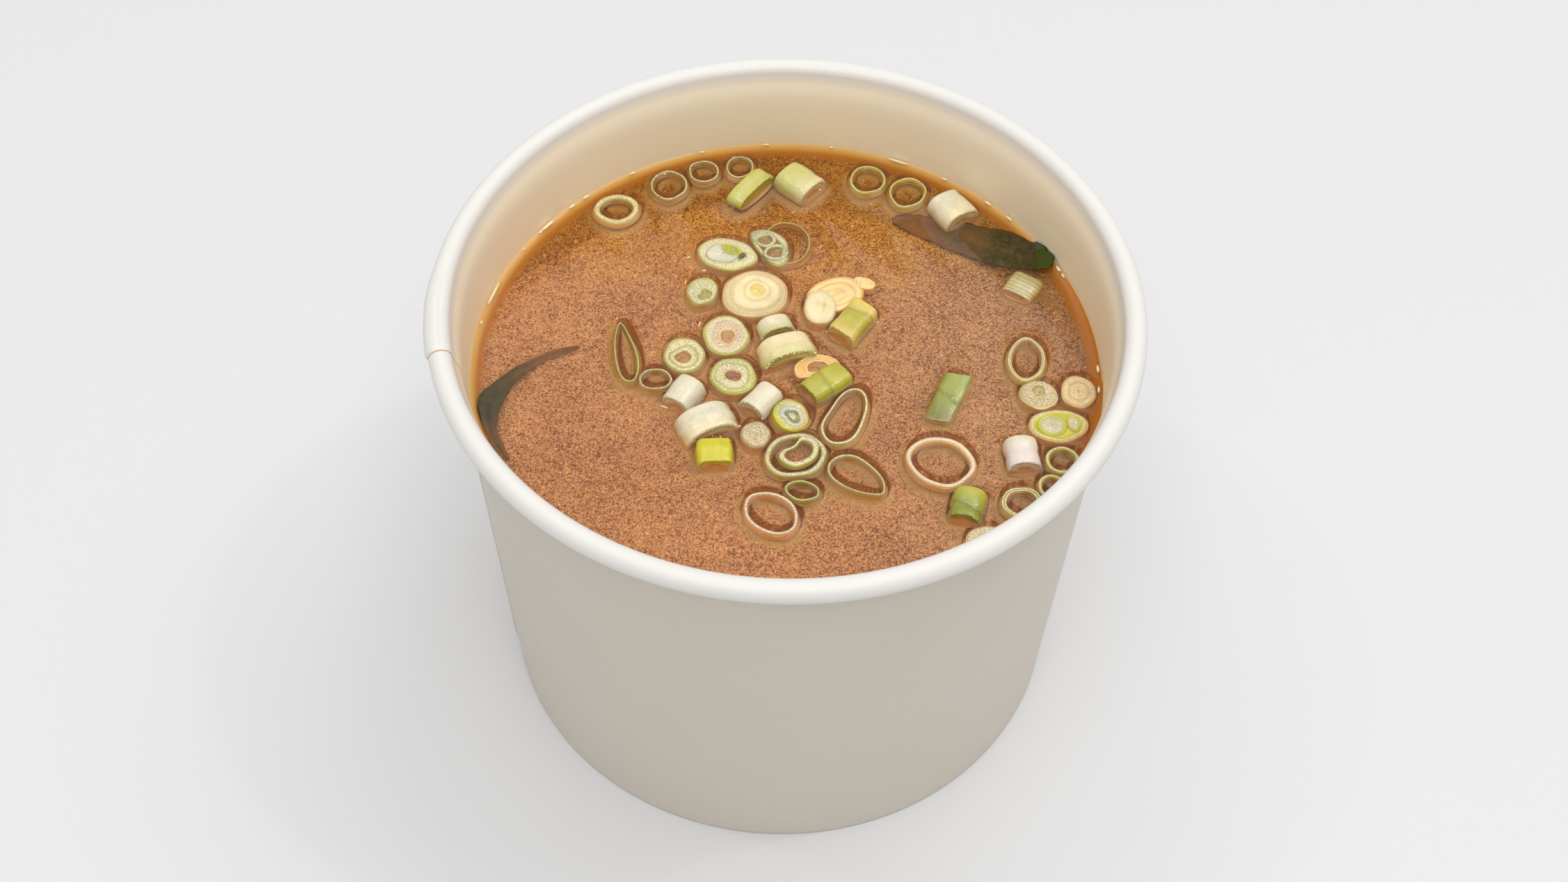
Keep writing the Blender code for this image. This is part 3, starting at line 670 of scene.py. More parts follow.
# slices lying just under the surface, only part of them showing through it
sunkSlices = {
    "onionSheath": upright((4.3, 3.3), 24, "sheath", "sunkOrange", at=(6.9, 13.6), under=0.12, core=(-0.6, -0.6)),
    "onionTab": upright((1.7, 1.2), -20, "sheath", "sunkOrange", at=(11.0, 15.9), under=0.1),
    "onionVeil": upright((3.3, 2.1), 18, "veil", "sunkOrange", at=(4.3, -0.2), under=0.12, bend=-0.1),
    "onionArc": upright((3.5, 4.5), -8, "leafRing", "paleGreen", at=(-0.4, 23.6), under=0.4, wall=0.4),
}
sunkFoot = -1.6


def makeSunkSlices(material):
    for seed, (name, spec) in enumerate(sunkSlices.items()):
        skin = Skin()
        addSlice(skin, spec["at"], spec, level - spec["under"], sunkFoot, 900 + 10 * seed)
        keepPiece(skin, name, material, "white_onion")


def lying(turn, length, half, up, run, **more):
    # a slice on its side: turn of the stalk, length, half width and half height, height of the
    # stalk's middle over the soup, and colours from one end to the other. Box squares its
    # section, fold is where a crease crosses it and at what slope, slant cuts its ends askew.
    return dict(more, turn=turn, length=length, half=half, up=up, run=run)


chunks = {
    "chunk_back_green": lying(-36, 2.9, (4.2, 1.5), 0.3, ("yellowGreen", "paleGreen", "yellowGreen")),
    "chunk_back_pale": lying(-42, 5.9, (2.9, 2.2), -0.3, ("paleGreen", "paleGreen", "froth")),
    "chunk_back_white": lying(-55, 5.4, (2.9, 2.4), -0.5, ("white", "white", "cream")),
    "chunk_middle_pale": lying(111, 2.9, (2.6, 2.4), -0.9, ("paleGreen", "white", "cream")),
    "chunk_middle_wide": lying(111, 4.2, (4.1, 3.6), -1.6, ("paleGreen", "cream", "cream")),
    "chunk_square": lying(58, 6.9, (2.2, 1.9), -0.3, ("yellow", "yellowGreen", "yellow"), box=0.55,
                          fold=(1.4, -0.12), slant=0.15),
    "chunk_split": lying(40, 6.6, (2.2, 1.9), -0.6, ("yellowGreen", "yellowGreen", "splitEnd"), box=0.6,
                         fold=(-0.2, 0.12)),
    "chunk_left_white": lying(62, 4.9, (2.3, 2.2), -0.4, ("white", "white", "white")),
    "chunk_front_white": lying(116, 4.6, (4.1, 3.6), -1.6, ("cream", "white", "white")),
    "chunk_inner_white": lying(54, 4.9, (2.1, 2.0), -0.4, ("white", "white", "white")),
    "chunk_vivid": lying(95, 4.1, (2.5, 2.1), -0.8, ("vivid", "vivid", "vivid"), box=0.5),
    "chunk_right_white": lying(97, 4.9, (2.3, 2.1), -0.5, ("mauve", "mauve", "white")),
    "chunk_right_green": lying(76, 5.0, (2.3, 1.9), -0.6, ("green", "foldLight", "yellowGreen"), fold=(-0.6, 0.3)),
    "chunk_ribbed": lying(58, 4.3, (2.4, 1.2), -0.9, ("greyFroth", "greyFroth", "olive"), ribs=9.0),
    "leaf_fold": lying(67, 8.6, (1.9, 0.7), -0.5, ("foldDark", "foldLight", "foldLight"), dip=7,
                       fold=(0.2, 0.33), slant=-0.15),
}

chunkMake = {
    "columns": 120,
    "endRows": 14,
    "bodyRows": 26,
    "edge": 0.14,
    "box": 0.8,  # power of the section: 1 is an ellipse
    "endSoak": 3.5,  # how much sooner the cut ends fade into the soup
}


def addChunk(skin, spot, spec, seed):
    # rows run along the stalk; the section is a squared ellipse, and each end turns over a small
    # edge onto a cut face of rings that sinks towards the core
    length, half, edge = spec["length"], spec["half"], chunkMake["edge"]
    angle = around(chunkMake["columns"])
    inner = np.linspace(0.0, 1.0, chunkMake["endRows"])[:-1]
    endScale = 0.04 + 0.96 * inner - 0.06 * inner
    endDepth = 0.10 + 0.45 * (1.0 - inner) ** 1.5
    endDepth[-1] = 0.02  # the last row rounds the edge
    body = np.linspace(-1.0, 1.0, chunkMake["bodyRows"])
    along = np.concatenate([endDepth - length / 2.0, body * (length / 2.0 - edge), (length / 2.0 - endDepth)[::-1]])
    scale = np.concatenate([endScale, 1.0 - 0.03 * np.abs(body) ** 12, endScale[::-1]])
    stops = np.array([onionColours[name] for name in spec["run"]])
    share = np.clip((along / length + 0.5), 0.0, 1.0)
    paint = np.stack([np.interp(share, [0.0, 0.5, 1.0], stops[:, i]) for i in range(3)], axis=-1)
    ends = np.abs(along) > length / 2.0 - edge - 1e-6
    rings = 0.86 + 0.14 * np.cos(scale * 18.0)
    paint = np.where(ends[:, None], paint * rings[:, None], paint)
    power = spec.get("box", chunkMake["box"])
    lump = 1.0 + ripple(angle, seed, 0.03)
    sag = scale * (1.0 + ripple(along * 1.1, seed + 3, 0.03, 1, 3))
    shape = (len(along), len(angle))
    grid = np.stack([
        np.broadcast_to(along[:, None], shape) + 0.10 * ripple(angle, seed + 9, 1.0, 1, 4)[None, :] * ends[:, None],
        sag[:, None] * (half[0] * boxy(np.cos(angle), power) * lump)[None, :],
        sag[:, None] * (half[1] * boxy(np.sin(angle), power) * lump)[None, :],
    ], axis=-1)
    grid[:, :, 0] += spec.get("slant", 0.0) * grid[:, :, 1]
    crease = np.ones(shape)
    if "fold" in spec:
        start, slope = spec["fold"]
        off = grid[:, :, 0] - start - slope * grid[:, :, 1]
        # painted shade: darker along the crease, and the whole of one side of the fold darker
        crease = 1.0 - 0.34 * np.exp(-(off / 0.22) ** 2)
        grid[:, :, 2] -= 0.16 * np.exp(-(off / 0.35) ** 2) * (grid[:, :, 2] > 0.0)
        crease *= 1.0 - 0.10 * ease(0.0, -0.3, off)
    if "ribs" in spec:
        crease = crease * (0.84 + 0.16 * np.sin(grid[:, :, 0] * spec["ribs"]))
    dip = math.radians(-spec.get("dip", 0.0))
    stance = Matrix.Rotation(math.radians(spec["turn"]), 4, "Z") @ Matrix.Rotation(dip, 4, "Y")
    grid = grid @ np.array(stance.to_3x3()).T + np.array([spot[0], spot[1], level + spec["up"]])
    # painted shade: the section's colour darker towards its underside and lighter on top
    side = 0.94 + 0.06 * np.sin(angle)

    def everyColumn(row):
        return np.broadcast_to(row[:, None], shape)

    skin.add(grid, {
        "tint": paint[:, None, :] * (side[None, :] * crease)[..., None],
        "froth": everyColumn(np.where(ends, 0.6, 0.06)),
        "grain": np.stack([np.broadcast_to((angle * sum(half) / 2.0)[None, :], shape), everyColumn(along),
                           np.zeros(shape)], axis=-1),
        "soak": everyColumn(np.where(scale < 0.95, chunkMake["endSoak"], 0.0)),
    })


def chunkShore(spot, spec):
    # where the soup meets a lying piece: a rounded oblong at the level
    drop = -spec["up"] / spec["half"][1]
    wide = spec["half"][0] * math.sqrt(max(0.05, 1.0 - drop * drop))
    angle = around(64)
    line = np.stack([boxy(np.cos(angle), 0.35) * spec["length"] / 2.0, boxy(np.sin(angle), 0.35) * wide], axis=-1)
    shorelines.append(spun(line, spec["turn"]) + np.array(spot[:2]))


def makeChunks(material):
    for seed, (node, spec) in enumerate(chunks.items()):
        spot = middleOf(node)
        skin = Skin()
        addChunk(skin, spot, spec, 500 + 10 * seed)
        chunkShore(spot, spec)
        keepPiece(skin, "onion_" + node, material, "white_onion" if node in whiteOnes else "green_onion", node)


def makeOnion():
    # wet onion: its painted colour, which holds painted shade in the grooves, creases and undersides, fine
    # lengthwise fibres on the skin, froth on cut faces, and the soup's own colour taking over with depth
    material, start = newMaterial("wet spring onion")
    spot = start.where()
    depth = depthUnder(spot)
    froth, soak = start.layer("froth"), start.layer("soak")
    fibre = start.layer("grain", "Vector").stretch((5.0, 0.5, 1.0)).grain(1.0, 2.0, 0.5)
    blotch = spot.grain(700.0, 3.0, 0.6)
    bubbles = spot.cells(3400.0)
    fine = spot.grain(4200.0, 2.0, 0.65)
    speck = bubbles.ease(0.55, 0.2) * froth
    pits = fine.ease(0.52, 0.36) * froth
    light = ((fibre - 0.5) * (1.0 - froth) * 0.5 + (blotch - 0.5) * 0.5).ease(-0.5, 0.5)
    colour = start.layer("tint", "Color").times(light.paint((0.82, 0.80, 0.72), (1.16, 1.16, 1.16)))
    colour = (speck * 0.6).paint(colour, (1.0, 0.95, 0.76))
    colour = (pits * 0.7).paint(colour, shade(146, 126, 66))
    colour = depth.ease(-0.1, 0.8).paint(colour, colour.times(shade(252, 208, 132)))
    glow = depth.ease(0.15, 1.2) * (1.0 - soak.ease(0.0, 1.0)) * 0.6
    colour = glow.paint(colour, shade(238, 182, 98))
    soaked = depth * (1.0 + soak * 0.8)
    colour = (soaked.ease(0.35, 2.3) * 0.97).paint(colour, murkColour)
    return closeMaterial(material, start.surface({
        "Base Color": colour.dim(0.89),
        "Roughness": 0.24,
        "Subsurface Weight": 0.35,
        "Subsurface Radius": (0.0016, 0.0012, 0.0006),
        "Subsurface Scale": 1.0,
        "Specular IOR Level": 0.6,
        "Coat Weight": 0.35,
        "Coat Roughness": 0.08,
        "Normal": (bubbles * froth + fine * froth + fibre * 0.35).bump(0.55, 0.00012),
    }))


# each leaf's middle line in x and y, its width there, and how deep it lies under the level
wakame = {
    "wakame_right": {
        "path": [(15.6, 30.2), (20.0, 28.6), (25.0, 26.5), (30.0, 24.4), (34.6, 22.6), (38.9, 21.6)],
        "width": [2.0, 4.6, 6.4, 7.0, 6.8, 5.4],
        "deep": [2.1, 1.8, 1.4, 1.0, 0.5, -0.7],
    },
    "wakame_left": {
        "path": [(-29.4, 3.3), (-34.0, 1.4), (-38.0, -2.4), (-41.0, -7.4), (-40.4, -12.5), (-37.4, -17.2)],
        "width": [0.5, 1.5, 2.1, 3.6, 1.8, 0.7],
        "deep": [2.0, 1.7, 1.3, 0.2, 1.3, 1.9],
    },
}


wakameMake = {
    "rows": 70,
    "columns": 18,  # across each face
    "smoothing": 30,
    "thick": 0.16,
    "edge": 0.03,
    "ragged": 0.10,
    "wallGap": 0.15,
}


def makeWakameLeaf(node, spec, material):
    # a thin leaf carried along a smooth path: its two faces are a closed band of rows
    knots = np.arange(len(spec["path"]))
    stations = np.linspace(0.0, len(knots) - 1.0, wakameMake["rows"])
    table = np.column_stack([spec["path"], spec["width"], spec["deep"]])
    line = np.stack([np.interp(stations, knots, column) for column in table.T], axis=-1)
    for _ in range(wakameMake["smoothing"]):
        line[1:-1] = (line[:-2] + 2.0 * line[1:-1] + line[2:]) / 4.0
    curve, width, deep = line[:, :2], line[:, 2], line[:, 3]
    ahead = np.gradient(curve, axis=0)
    ahead /= np.linalg.norm(ahead, axis=1, keepdims=True)
    side = np.stack([-ahead[:, 1], ahead[:, 0]], axis=-1)
    ragged = 1.0 + ripple(stations * 2.4, 3, wakameMake["ragged"], 1, 7)
    across = np.linspace(-1.0, 1.0, wakameMake["columns"])
    turn = np.concatenate([across, across[::-1]])
    thick = wakameMake["thick"] * np.sqrt(np.clip(1.0 - across ** 2, 0.0, 1.0)) + wakameMake["edge"]
    lift = np.concatenate([thick, -thick[::-1]])
    fold = 0.14 * np.sin(turn[None, :] * 5.0 + stations[:, None] * 1.7) + 0.15 * np.sin(stations[:, None] * 4.3)
    flat = curve[:, None] + side[:, None] * turn[None, :, None] * (width * ragged)[:, None, None] / 2.0
    # drawn in where it would cross the wall
    reach = np.hypot(flat[:, :, 0], flat[:, :, 1])
    flat = flat * np.minimum(1.0, (wallInside(level) - wakameMake["wallGap"]) / reach)[..., None]
    height = level - deep[:, None] + lift[None, :] + fold
    skin = Skin()
    skin.add(np.concatenate([flat, height[..., None]], axis=-1), {})
    keepPiece(skin, "leaf_" + node, material, "wakame", node)


def makeWakame():
    # olive brown with veins, browner with depth and greener where it stands out of the soup
    material, start = newMaterial("wet wakame")
    spot = start.where()
    depth = depthUnder(spot)
    veins = spot.grain(900.0, 4.0, 0.6, 1.0)
    colour = veins.ease(0.35, 0.7).paint(shade(42, 42, 10), shade(78, 66, 16))
    colour = (depth.ease(0.3, 2.6) * 0.7).paint(colour, murkDeep)
    colour = depth.ease(0.1, -0.5).paint(colour, shade(62, 72, 22))
    return closeMaterial(material, start.surface({
        "Base Color": colour, "Roughness": 0.5, "Specular IOR Level": 0.12, "Normal": veins.bump(0.4, 0.0001)}))


broth = {
    "gridSize": 300,  # squares each way on the surface
    "clearDepth": 3.6,  # of the clear body under the level
    "cloudDepth": 2.1,  # of the miso cloud under the clear top layer
    "cloudRows": (110, 16, 12),  # across the top, up the lip and down the wall
    "cloudColumns": 300,
    "lipWidth": 2.4,
    "overlap": 0.1,  # how far the clear body reaches into the wall, so that no gap shows
    "cloudOverlap": 0.12,
    "cloudUnder": 0.12,  # the lip's top under the level
    "wallReach": 0.95,
    "pieceRise": 0.40,  # how far the soup climbs at a slice
    "pieceReach": 0.62,
    "lineWidth": 0.26,  # of the raised lines
    "farOff": 9.0,  # a distance that counts as far from any line
    "margin": 3.0,  # distances are worked out this close to a line
    "shadowShifts": [(0.15, 1.0), (0.3, 1.9)],  # dark arcs in the cloud behind each piece
}

# faint raised lines where the surface bends round the middle group: points and height
surfaceLines = [
    ([(-0.5, 9.2), (2.0, 8.4), (5.0, 6.2), (7.6, 3.9), (9.2, 1.6), (10.6, -0.8), (11.4, -3.2)], 0.24),
    ([(1.0, 8.0), (3.4, 6.8), (5.6, 5.0), (7.6, 3.0), (9.0, 0.8), (10.0, -1.6), (10.4, -3.4)], 0.18),
    ([(2.8, 18.4), (5.0, 19.2), (7.6, 19.3), (10.0, 18.4), (12.0, 16.8), (13.0, 14.6)], 0.22),
    ([(3.6, 17.4), (5.8, 18.1), (8.2, 18.0), (10.4, 16.8), (11.6, 15.4)], 0.16),
    ([(1.6, 28.4), (3.4, 26.6), (3.9, 23.8), (3.2, 21.2), (1.4, 19.0)], 0.15),
    ([(-1.0, -1.2), (0.8, -2.6), (1.9, -4.4), (2.2, -5.8)], 0.15),
    ([(-15.8, -8.6), (-13.4, -6.9), (-10.8, -6.6), (-8.2, -7.4), (-6.6, -9.2)], 0.13),
]


def gapTo(line, flat, closed=False):
    # distance from each point to a line of points, worked out only close to it
    far = np.full(len(flat), broth["farOff"])
    margin = broth["margin"]
    close = np.all((flat > line.min(axis=0) - margin) & (flat < line.max(axis=0) + margin), axis=1)
    a, b = (line, np.roll(line, -1, axis=0)) if closed else (line[:-1], line[1:])
    step = b - a
    offset = flat[close][:, None, :] - a[None, :, :]
    share = np.clip((offset * step).sum(axis=2) / (step ** 2).sum(axis=1), 0.0, 1.0)
    far[close] = np.linalg.norm(offset - share[:, :, None] * step, axis=2).min(axis=1)
    return far


def gapToShores(x, y, shifts=((0.0, 0.0),)):
    # distance from each point to the nearest shoreline, each moved by every shift
    flat = np.stack([x.ravel(), y.ravel()], axis=-1)
    near = np.full(len(flat), broth["farOff"])
    for line in shorelines:
        for shift in shifts:
            near = np.minimum(near, gapTo(line + np.array(shift), flat, True))
    return near.reshape(x.shape)


def surfaceHeight(x, y):
    # the level, climbing at the wall and round every floating piece, with a slow swell
    fromWall = wallInside(level) - np.hypot(x, y)
    rise = climb * np.exp(-np.clip(fromWall, 0.0, None) / broth["wallReach"])
    rise = np.maximum(rise, broth["pieceRise"] * np.exp(-gapToShores(x, y) / broth["pieceReach"]))
    flat = np.stack([x.ravel(), y.ravel()], axis=-1)
    for line, height in surfaceLines:
        gap = gapTo(np.array(line), flat).reshape(x.shape)
        rise = rise + height * np.exp(-(gap / broth["lineWidth"]) ** 2)
    swell = 0.02 * np.sin(x * 0.31 + 1.0) * np.sin(y * 0.27) + 0.012 * np.sin(x * 0.8 + y * 0.5)
    return level + rise + swell * ease(0.0, 3.0, fromWall)


def makeClear(material):
    # squares on a disc: a square grid is drawn out to a round edge, then the body is closed below
    size = broth["gridSize"]
    line = np.linspace(-1.0, 1.0, size + 1)
    u, v = np.meshgrid(line, line, indexing="ij")
    big, small = np.maximum(np.abs(u), np.abs(v)), np.minimum(np.abs(u), np.abs(v))
    turn = (math.pi / 4.0) * small / np.where(big > 0.0, big, 1.0)
    major, minor = big * np.cos(turn), big * np.sin(turn)
    wide = np.abs(u) >= np.abs(v)
    reach = wallInside(level) + broth["overlap"]
    x = np.where(wide, major, minor) * np.sign(u) * reach
    y = np.where(wide, minor, major) * np.sign(v) * reach
    top = np.stack([x, y, surfaceHeight(x, y)], axis=-1).reshape(-1, 3)
    index = np.arange(len(top)).reshape(size + 1, size + 1)
    quads = np.stack([index[:-1, :-1], index[1:, :-1], index[1:, 1:], index[:-1, 1:]], axis=-1).reshape(-1, 4)
    rim = np.concatenate([index[:-1, 0], index[-1, :-1], index[:0:-1, -1], index[0, :0:-1]])
    low = level - broth["clearDepth"]
    ring = top[rim].copy()
    ring[:, :2] *= (wallInside(low) + broth["overlap"]) / np.linalg.norm(ring[:, :2], axis=1, keepdims=True)
    ring[:, 2] = low
    lower = len(top) + np.arange(len(rim))
    sides = np.stack([np.roll(rim, -1), rim, lower, np.roll(lower, -1)], axis=-1)
    fans = np.stack([np.roll(lower, -1), lower, np.full(len(rim), lower[-1] + 1)], axis=-1)
    skin = Skin()
    skin.keep(np.concatenate([top, ring, [[0.0, 0.0, low]]]), np.concatenate([quads, sides]), fans, {})
    keepPiece(skin, "brothClear", material, "broth", "soup")


def makeCloudBody(material):
    # the miso cloud: rows run from the middle of its top out to the wall, up a thin lip, then
    # down inside the wall to the cup's base
    angle = around(broth["cloudColumns"])
    topRows, lipRows, wallRows = broth["cloudRows"]
    edge, wide = wallInside(level), broth["lipWidth"]
    radii = np.concatenate([np.linspace(0.3, edge - wide, topRows),
                            edge - wide * (1.0 - np.linspace(0.08, 0.99, lipRows))])
    lip = ease(edge - wide - 0.3, edge + 0.25, radii)
    drop = np.linspace(level - 0.3, soupLow[2], wallRows)
    radius = np.concatenate([radii, wallInside(drop) + broth["cloudOverlap"]])
    top = level - broth["cloudDepth"] * (1.0 - lip ** 1.2) - broth["cloudUnder"]
    height = np.concatenate([top, drop])
    x, y = radius[:, None] * np.cos(angle), radius[:, None] * np.sin(angle)
    billow = 0.22 * np.sin(x * 0.9 + 2.0 * np.sin(y * 0.4)) * np.sin(y * 0.8 + 1.3 * np.sin(x * 0.5))
    calm = np.concatenate([ease(edge - 2.0, edge - 5.0, radii), np.zeros(len(drop))])
    skin = Skin()
    skin.add(np.stack([x, y, height[:, None] + billow * calm[:, None]], axis=-1), {
        "behind": gapToShores(x, y, broth["shadowShifts"]),
        "lip": np.broadcast_to(np.concatenate([lip, np.ones(len(drop))])[:, None], x.shape),
        "near": gapToShores(x, y),
    })
    keepPiece(skin, "misoCloud", material, "broth")


def makeClearMaterial():
    # clear broth: bends and mirrors for the eye, lets lamps and bounced light through with a
    # little amber
    material, start = newMaterial("clear broth")
    glass = start.surface({
        "Base Color": (1.0, 0.985, 0.95), "Roughness": 0.0, "IOR": 1.36, "Transmission Weight": 1.0})
    clear = start.node("ShaderNodeBsdfTransparent", {}, {"Color": (1.0, 0.97, 0.90)})
    shadow = start.node("ShaderNodeLightPath", {}, {}, "Is Shadow Ray")
    bounced = start.node("ShaderNodeLightPath", {}, {}, "Is Diffuse Ray")
    return closeMaterial(material, start.node("ShaderNodeMixShader", {}, {
        0: shadow.most(bounced), 1: glass, 2: clear}))


def makeCloudMaterial():
    # brown-orange cloud: broad patches, curds about a millimetre across, fine grain, and pale specks; a painted
    # reflection of the room pales the front and greys the right side, and painted shade darkens arcs behind the
    # pieces
    material, start = newMaterial("miso cloud")
    spot = start.where()
    x, y, lip = spot.part("X"), spot.part("Y"), start.layer("lip")
    broad = spot.grain(80.0, 2.0, 0.5, 0.6)
    patches = spot.grain(240.0, 3.0, 0.6)
    curds = spot.grain(1250.0, 4.0, 0.65)
    fine = spot.grain(3600.0, 2.0, 0.6)
    tone = (broad - 0.5) * 0.5 + (patches - 0.5) * 0.5 + (curds - 0.5) * 1.25 + (fine - 0.5) * 3.2 + 0.5
    # painted reflection of the room: the front ramp is paler and pinker, the back one richer
    front = tone.ramp([(0.0, shade(120, 72, 44)), (0.42, shade(178, 118, 72)),
                       (0.6, shade(190, 130, 82)), (1.0, shade(216, 158, 106))])
    back = tone.ramp([(0.0, shade(120, 66, 16)), (0.42, shade(174, 112, 36)),
                      (0.6, shade(186, 124, 46)), (1.0, shade(212, 154, 80))])
    colour = (y + (broad - 0.5) * 0.012).ease(0.012, 0.030).paint(front, back)  # richer towards the back
    # painted reflection of the room: the right side greyer and bluer
    colour = colour.times(x.ease(-0.002, 0.034).paint((1.0, 1.0, 1.0), (0.93, 1.03, 1.20)))  # greyer right side
    # painted darker beyond this circle, along the back and right, in place of the edge of a
    # room's reflection: the surface and the cloud's depth don't change there
    east, north = x + 0.003, y + 0.0155
    beyond = ((east * east + north * north) ** 0.5).ease(0.0472, 0.0484)
    colour = (beyond * 0.75).paint(colour, colour.times((0.72, 0.66, 0.52)))
    speck = spot.cells(620.0).ease(0.20, 0.08) * spot.grain(300.0, 1.0).ease(0.5, 0.6)
    colour = (speck * 0.75).paint(colour, shade(232, 178, 116))
    colour = (start.layer("near").ease(1.7, 0.1) * 0.55).paint(colour, shade(214, 172, 100))
    # painted shade: dark arcs in the cloud behind each piece
    colour = (start.layer("behind").ease(0.42, 0.06) * 0.85).paint(colour, shade(130, 66, 18))
    golden = lip.ease(0.5, 1.0).paint(shade(194, 118, 26), shade(232, 184, 100))
    golden = x.ease(0.030, 0.046).paint(golden, shade(194, 114, 10))
    colour = lip.ease(0.05, 0.6).paint(colour, golden).dim(0.87)
    return closeMaterial(material, start.surface({
        "Base Color": colour, "Roughness": 0.9, "Specular IOR Level": 0.0}))


# pale beads, partly tiny bubbles and partly painted glints; the row at the wall and the ones on the soup are
# painted glints
bubblesAndGlints = {
    "edgeOf": {  # lying pieces with a row of tiny bubbles along a cut end: which end, how many
        "chunk_middle_wide": (-1, 17), "chunk_front_white": (-1, 9), "chunk_vivid": (1, 7),
        "chunk_square": (-1, 5), "chunk_middle_pale": (-1, 5), "chunk_inner_white": (-1, 4),
    },
    # painted glints along the wall, as pale beads
    "atWall": [  # direction in degrees, length along the wall, width
        (164.5, 3.6, 0.34), (145.0, 1.2, 0.4), (146.5, 0.7, 0.3), (144.0, 1.5, 0.45), (137.6, 1.0, 0.34),
        (134.0, 0.9, 0.34), (122.9, 0.8, 0.3), (68.2, 2.6, 0.32), (58.0, 0.8, 0.3), (47.5, 1.0, 0.36),
        (41.9, 0.9, 0.34), (26.1, 0.9, 0.36), (24.2, 0.7, 0.3), (0.4, 1.1, 0.36), (-4.6, 0.9, 0.3),
        (108.0, 0.6, 0.26), (95.0, 0.8, 0.26), (82.0, 0.5, 0.24), (172.0, 0.6, 0.26), (152.0, 0.5, 0.24),
    ],
    # painted glints on the soup, as pale flat beads
    "onSoup": [  # place, long and short width, direction
        (-12.4, 7.0, 1.7, 0.26, 72.0), (-14.6, 19.9, 0.9, 0.3, 20.0), (-12.2, 17.4, 1.0, 0.28, 0.0),
        (-14.8, 15.0, 0.9, 0.26, 80.0), (-19.0, 37.0, 0.7, 0.3, 0.0), (-20.2, 36.4, 0.6, 0.3, 0.0),
        (-8.6, 40.8, 0.9, 0.3, 10.0), (4.4, 34.4, 0.6, 0.3, 0.0), (-24.2, 7.6, 0.5, 0.26, 0.0),
        (-16.6, -8.3, 1.8, 0.26, -24.0), (5.9, -3.9, 0.5, 0.3, 0.0), (12.9, 8.2, 0.4, 0.3, 0.0),
        (14.0, 7.2, 0.35, 0.25, 0.0), (4.6, 1.2, 0.5, 0.24, 30.0), (2.4, -0.4, 0.4, 0.22, 0.0),
        (-6.0, -7.4, 0.4, 0.24, 0.0), (9.6, 5.0, 0.4, 0.24, 40.0), (-10.6, 4.2, 0.4, 0.24, 90.0),
    ],
    "smallest": 0.10,
    "spread": 0.22,  # from the smallest to the largest bead along a cut end
    "inset": 0.55,  # of the row at the wall
    "wallShare": (1.3, 1.2),  # of the listed sizes
    "soupShare": (0.7, 0.75),
}


def addBead(skin, spot, wide, turn):
    # a small dome: an ellipse drawn in to a point at top and bottom
    angle = around(12)
    rise = np.radians(np.linspace(-70.0, 70.0, 7))
    x = 0.5 * wide[0] * np.cos(rise)[:, None] * np.cos(angle)
    y = 0.5 * wide[1] * np.cos(rise)[:, None] * np.sin(angle)
    z = np.broadcast_to(0.5 * wide[2] * np.sin(rise)[:, None], x.shape)
    c, s = math.cos(turn), math.sin(turn)
    skin.add(np.stack([spot[0] + x * c - y * s, spot[1] + x * s + y * c, spot[2] + z], axis=-1), {})


def makeBubblesAndGlints():
    # tiny bubbles and painted glints, as pale beads in one mesh: along cut ends, at the wall and scattered on the
    # soup
    material, start = newMaterial("tiny bubbles and painted glints")
    # near-white, so that the beads show as painted highlights
    colour = start.where().grain(3000.0, 2.0).paint(shade(240, 214, 140), shade(255, 246, 214))
    closeMaterial(material, start.surface({
        "Base Color": colour, "Roughness": 0.1, "Coat Weight": 1.0, "Coat Roughness": 0.03}))
    skin = Skin()
    dice = np.random.default_rng(12)
    for node, (end, count) in bubblesAndGlints["edgeOf"].items():
        spec = chunks[node]
        spot, turn, half = middleOf(node), math.radians(spec["turn"]), spec["half"]
        reach = math.acos(min(0.98, -spec["up"] / half[1]))
        for lean in np.linspace(-reach, reach, count):
            along = end * (spec["length"] / 2.0 + dice.uniform(-0.05, 0.15))
            lean = lean + dice.uniform(-0.12, 0.12)
            across = half[0] * math.copysign(abs(math.sin(lean)) ** chunkMake["box"], lean)
            height = level + spec["up"] + half[1] * abs(math.cos(lean)) ** chunkMake["box"] - 0.03
            size = bubblesAndGlints["smallest"] + bubblesAndGlints["spread"] * dice.uniform(0.0, 1.0) ** 2
            x = spot[0] + along * math.cos(turn) - across * math.sin(turn)
            y = spot[1] + along * math.sin(turn) + across * math.cos(turn)
            addBead(skin, (x, y, max(height, level + 0.25)), (size, size, size), 0.0)
    ring = wallInside(level) - bubblesAndGlints["inset"]
    longer, wider = bubblesAndGlints["wallShare"]
    for degrees, length, width in bubblesAndGlints["atWall"]:
        turn = math.radians(degrees)
        addBead(skin, (ring * math.cos(turn), ring * math.sin(turn), level + 0.40),
                (longer * length, wider * width, 0.36), turn + math.pi / 2.0)
    longer, wider = bubblesAndGlints["soupShare"]
    for x, y, length, width, degrees in bubblesAndGlints["onSoup"]:
        addBead(skin, (x, y, level + 0.10), (longer * length, wider * width, 0.3), math.radians(degrees))
    keepPiece(skin, "bubblesAndPaintedGlints", material, "broth")


def makeFloor():
    mesh = bpy.data.meshes.new("floor")
    mesh.from_pydata([(-3, -3, 0), (3, -3, 0), (3, 3, 0), (-3, 3, 0)], [], [(0, 1, 2, 3)])
    floor = addObject("floor", mesh)
    material, start = newMaterial("pale floor")
    mesh.materials.append(closeMaterial(material, start.surface({
        "Base Color": shade(219, 219, 220), "Roughness": 0.5, "Specular IOR Level": 0.3})))


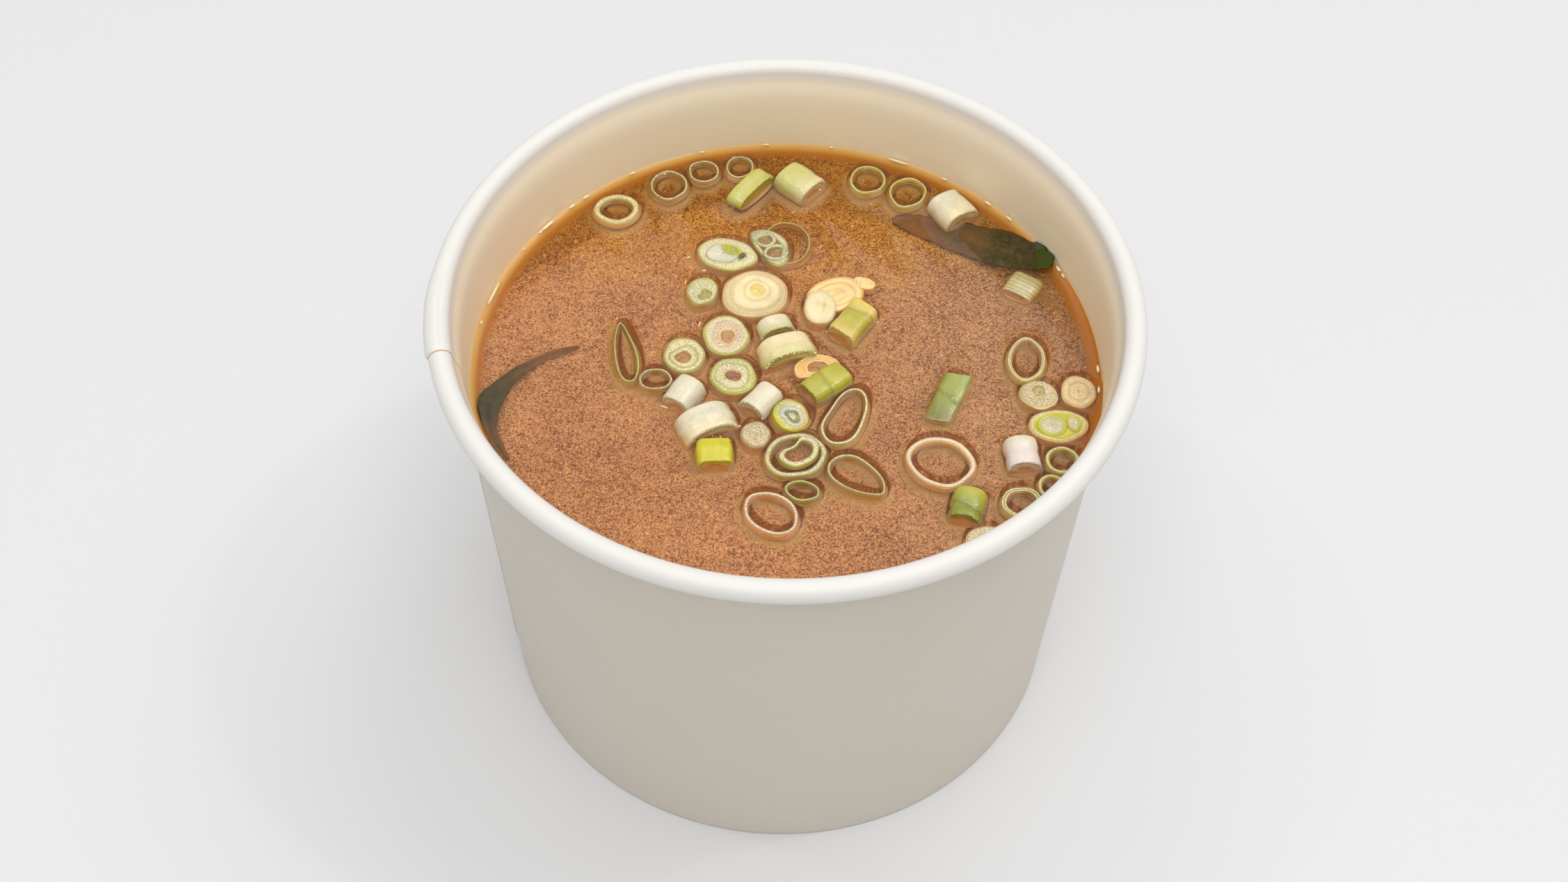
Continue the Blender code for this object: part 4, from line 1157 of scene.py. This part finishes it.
lights = {
    "sky": 0.49,
    "boxes": [  # direction and height in degrees, distance and size in metres, how bright
        (4.0, 58.6, 3.0, (2.2, 1.25), 0.95),
        (62.0, 62.0, 2.2, (1.3, 1.3), 1.82),
        (-58.0, 66.0, 2.2, (0.9, 0.9), 1.14),
        (180.0, 68.0, 2.0, (1.3, 1.3), 3.3),
        (84.0, 62.0, 1.6, (0.07, 0.07), 70.0),
        (-80.0, 60.0, 1.6, (0.07, 0.07), 40.0),
    ],
}


def makeLights():
    # an even white sky and soft boxes that all face the cup
    world = bpy.data.worlds.new("soft room")
    world.use_nodes = True
    back = world.node_tree.nodes["Background"]
    back.inputs["Color"].default_value = (1.0, 1.0, 1.0, 1.0)
    back.inputs["Strength"].default_value = lights["sky"]
    bpy.context.scene.world = world
    for number, (turn, rise, away, size, radiance) in enumerate(lights["boxes"]):
        turn, rise = math.radians(turn), math.radians(rise)
        aim = Vector((math.sin(turn) * math.cos(rise), math.cos(turn) * math.cos(rise), math.sin(rise)))
        lamp = bpy.data.lights.new("soft box %d" % (number + 1), "AREA")
        lamp.shape = "RECTANGLE"
        lamp.size, lamp.size_y = size
        lamp.energy = radiance * math.pi * size[0] * size[1]
        item = addObject(lamp.name, lamp)
        item.location = aim * away
        item.rotation_euler = (-aim).to_track_quat("-Z", "Y").to_euler()


view = {
    "away": 0.3509,  # metres from the middle of the foot
    "rise": 55.8,  # degrees over the floor
    "aimUp": 4.22,  # degrees above the middle of the foot
    "roll": 1.43,
    "lens": 49.8,
    "sensor": 36.0,
}


def makeCamera():
    # on the front side, looking at the foot, tipped up by aimUp and rolled
    data = bpy.data.cameras.new("camera")
    data.lens, data.sensor_width = view["lens"], view["sensor"]
    camera = addObject("camera", data)
    rise, aim, roll = (math.radians(view[key]) for key in ("rise", "aimUp", "roll"))
    forward = Vector((0.0, math.cos(rise - aim), -math.sin(rise - aim)))
    east = Vector((1.0, 0.0, 0.0))
    over = east.cross(forward)
    right = east * math.cos(roll) + over * math.sin(roll)
    up = over * math.cos(roll) - east * math.sin(roll)
    turn = Matrix((right, up, -forward)).transposed().to_4x4()
    spot = Vector((0.0, -math.cos(rise), math.sin(rise))) * view["away"]
    camera.matrix_world = Matrix.Translation(spot) @ turn
    bpy.context.scene.camera = camera


bpy.context.scene.view_settings.view_transform = "Standard"
makeCamera()
makeLights()
makeFloor()
print("camera, lights and floor")
paper = makePaper()
makeCupWall(paper)
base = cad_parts["cup_base"]
base.data.materials.clear()
base.data.materials.append(paper)
print("cup")
onion = makeOnion()
makeSlices(onion)
makeChunks(onion)
makeSunkSlices(onion)
print("spring onion")
seaweed = makeWakame()
for node, spec in wakame.items():
    makeWakameLeaf(node, spec, seaweed)
print("wakame")
makeClear(makeClearMaterial())
makeCloudBody(makeCloudMaterial())
makeBubblesAndGlints()
print("broth")
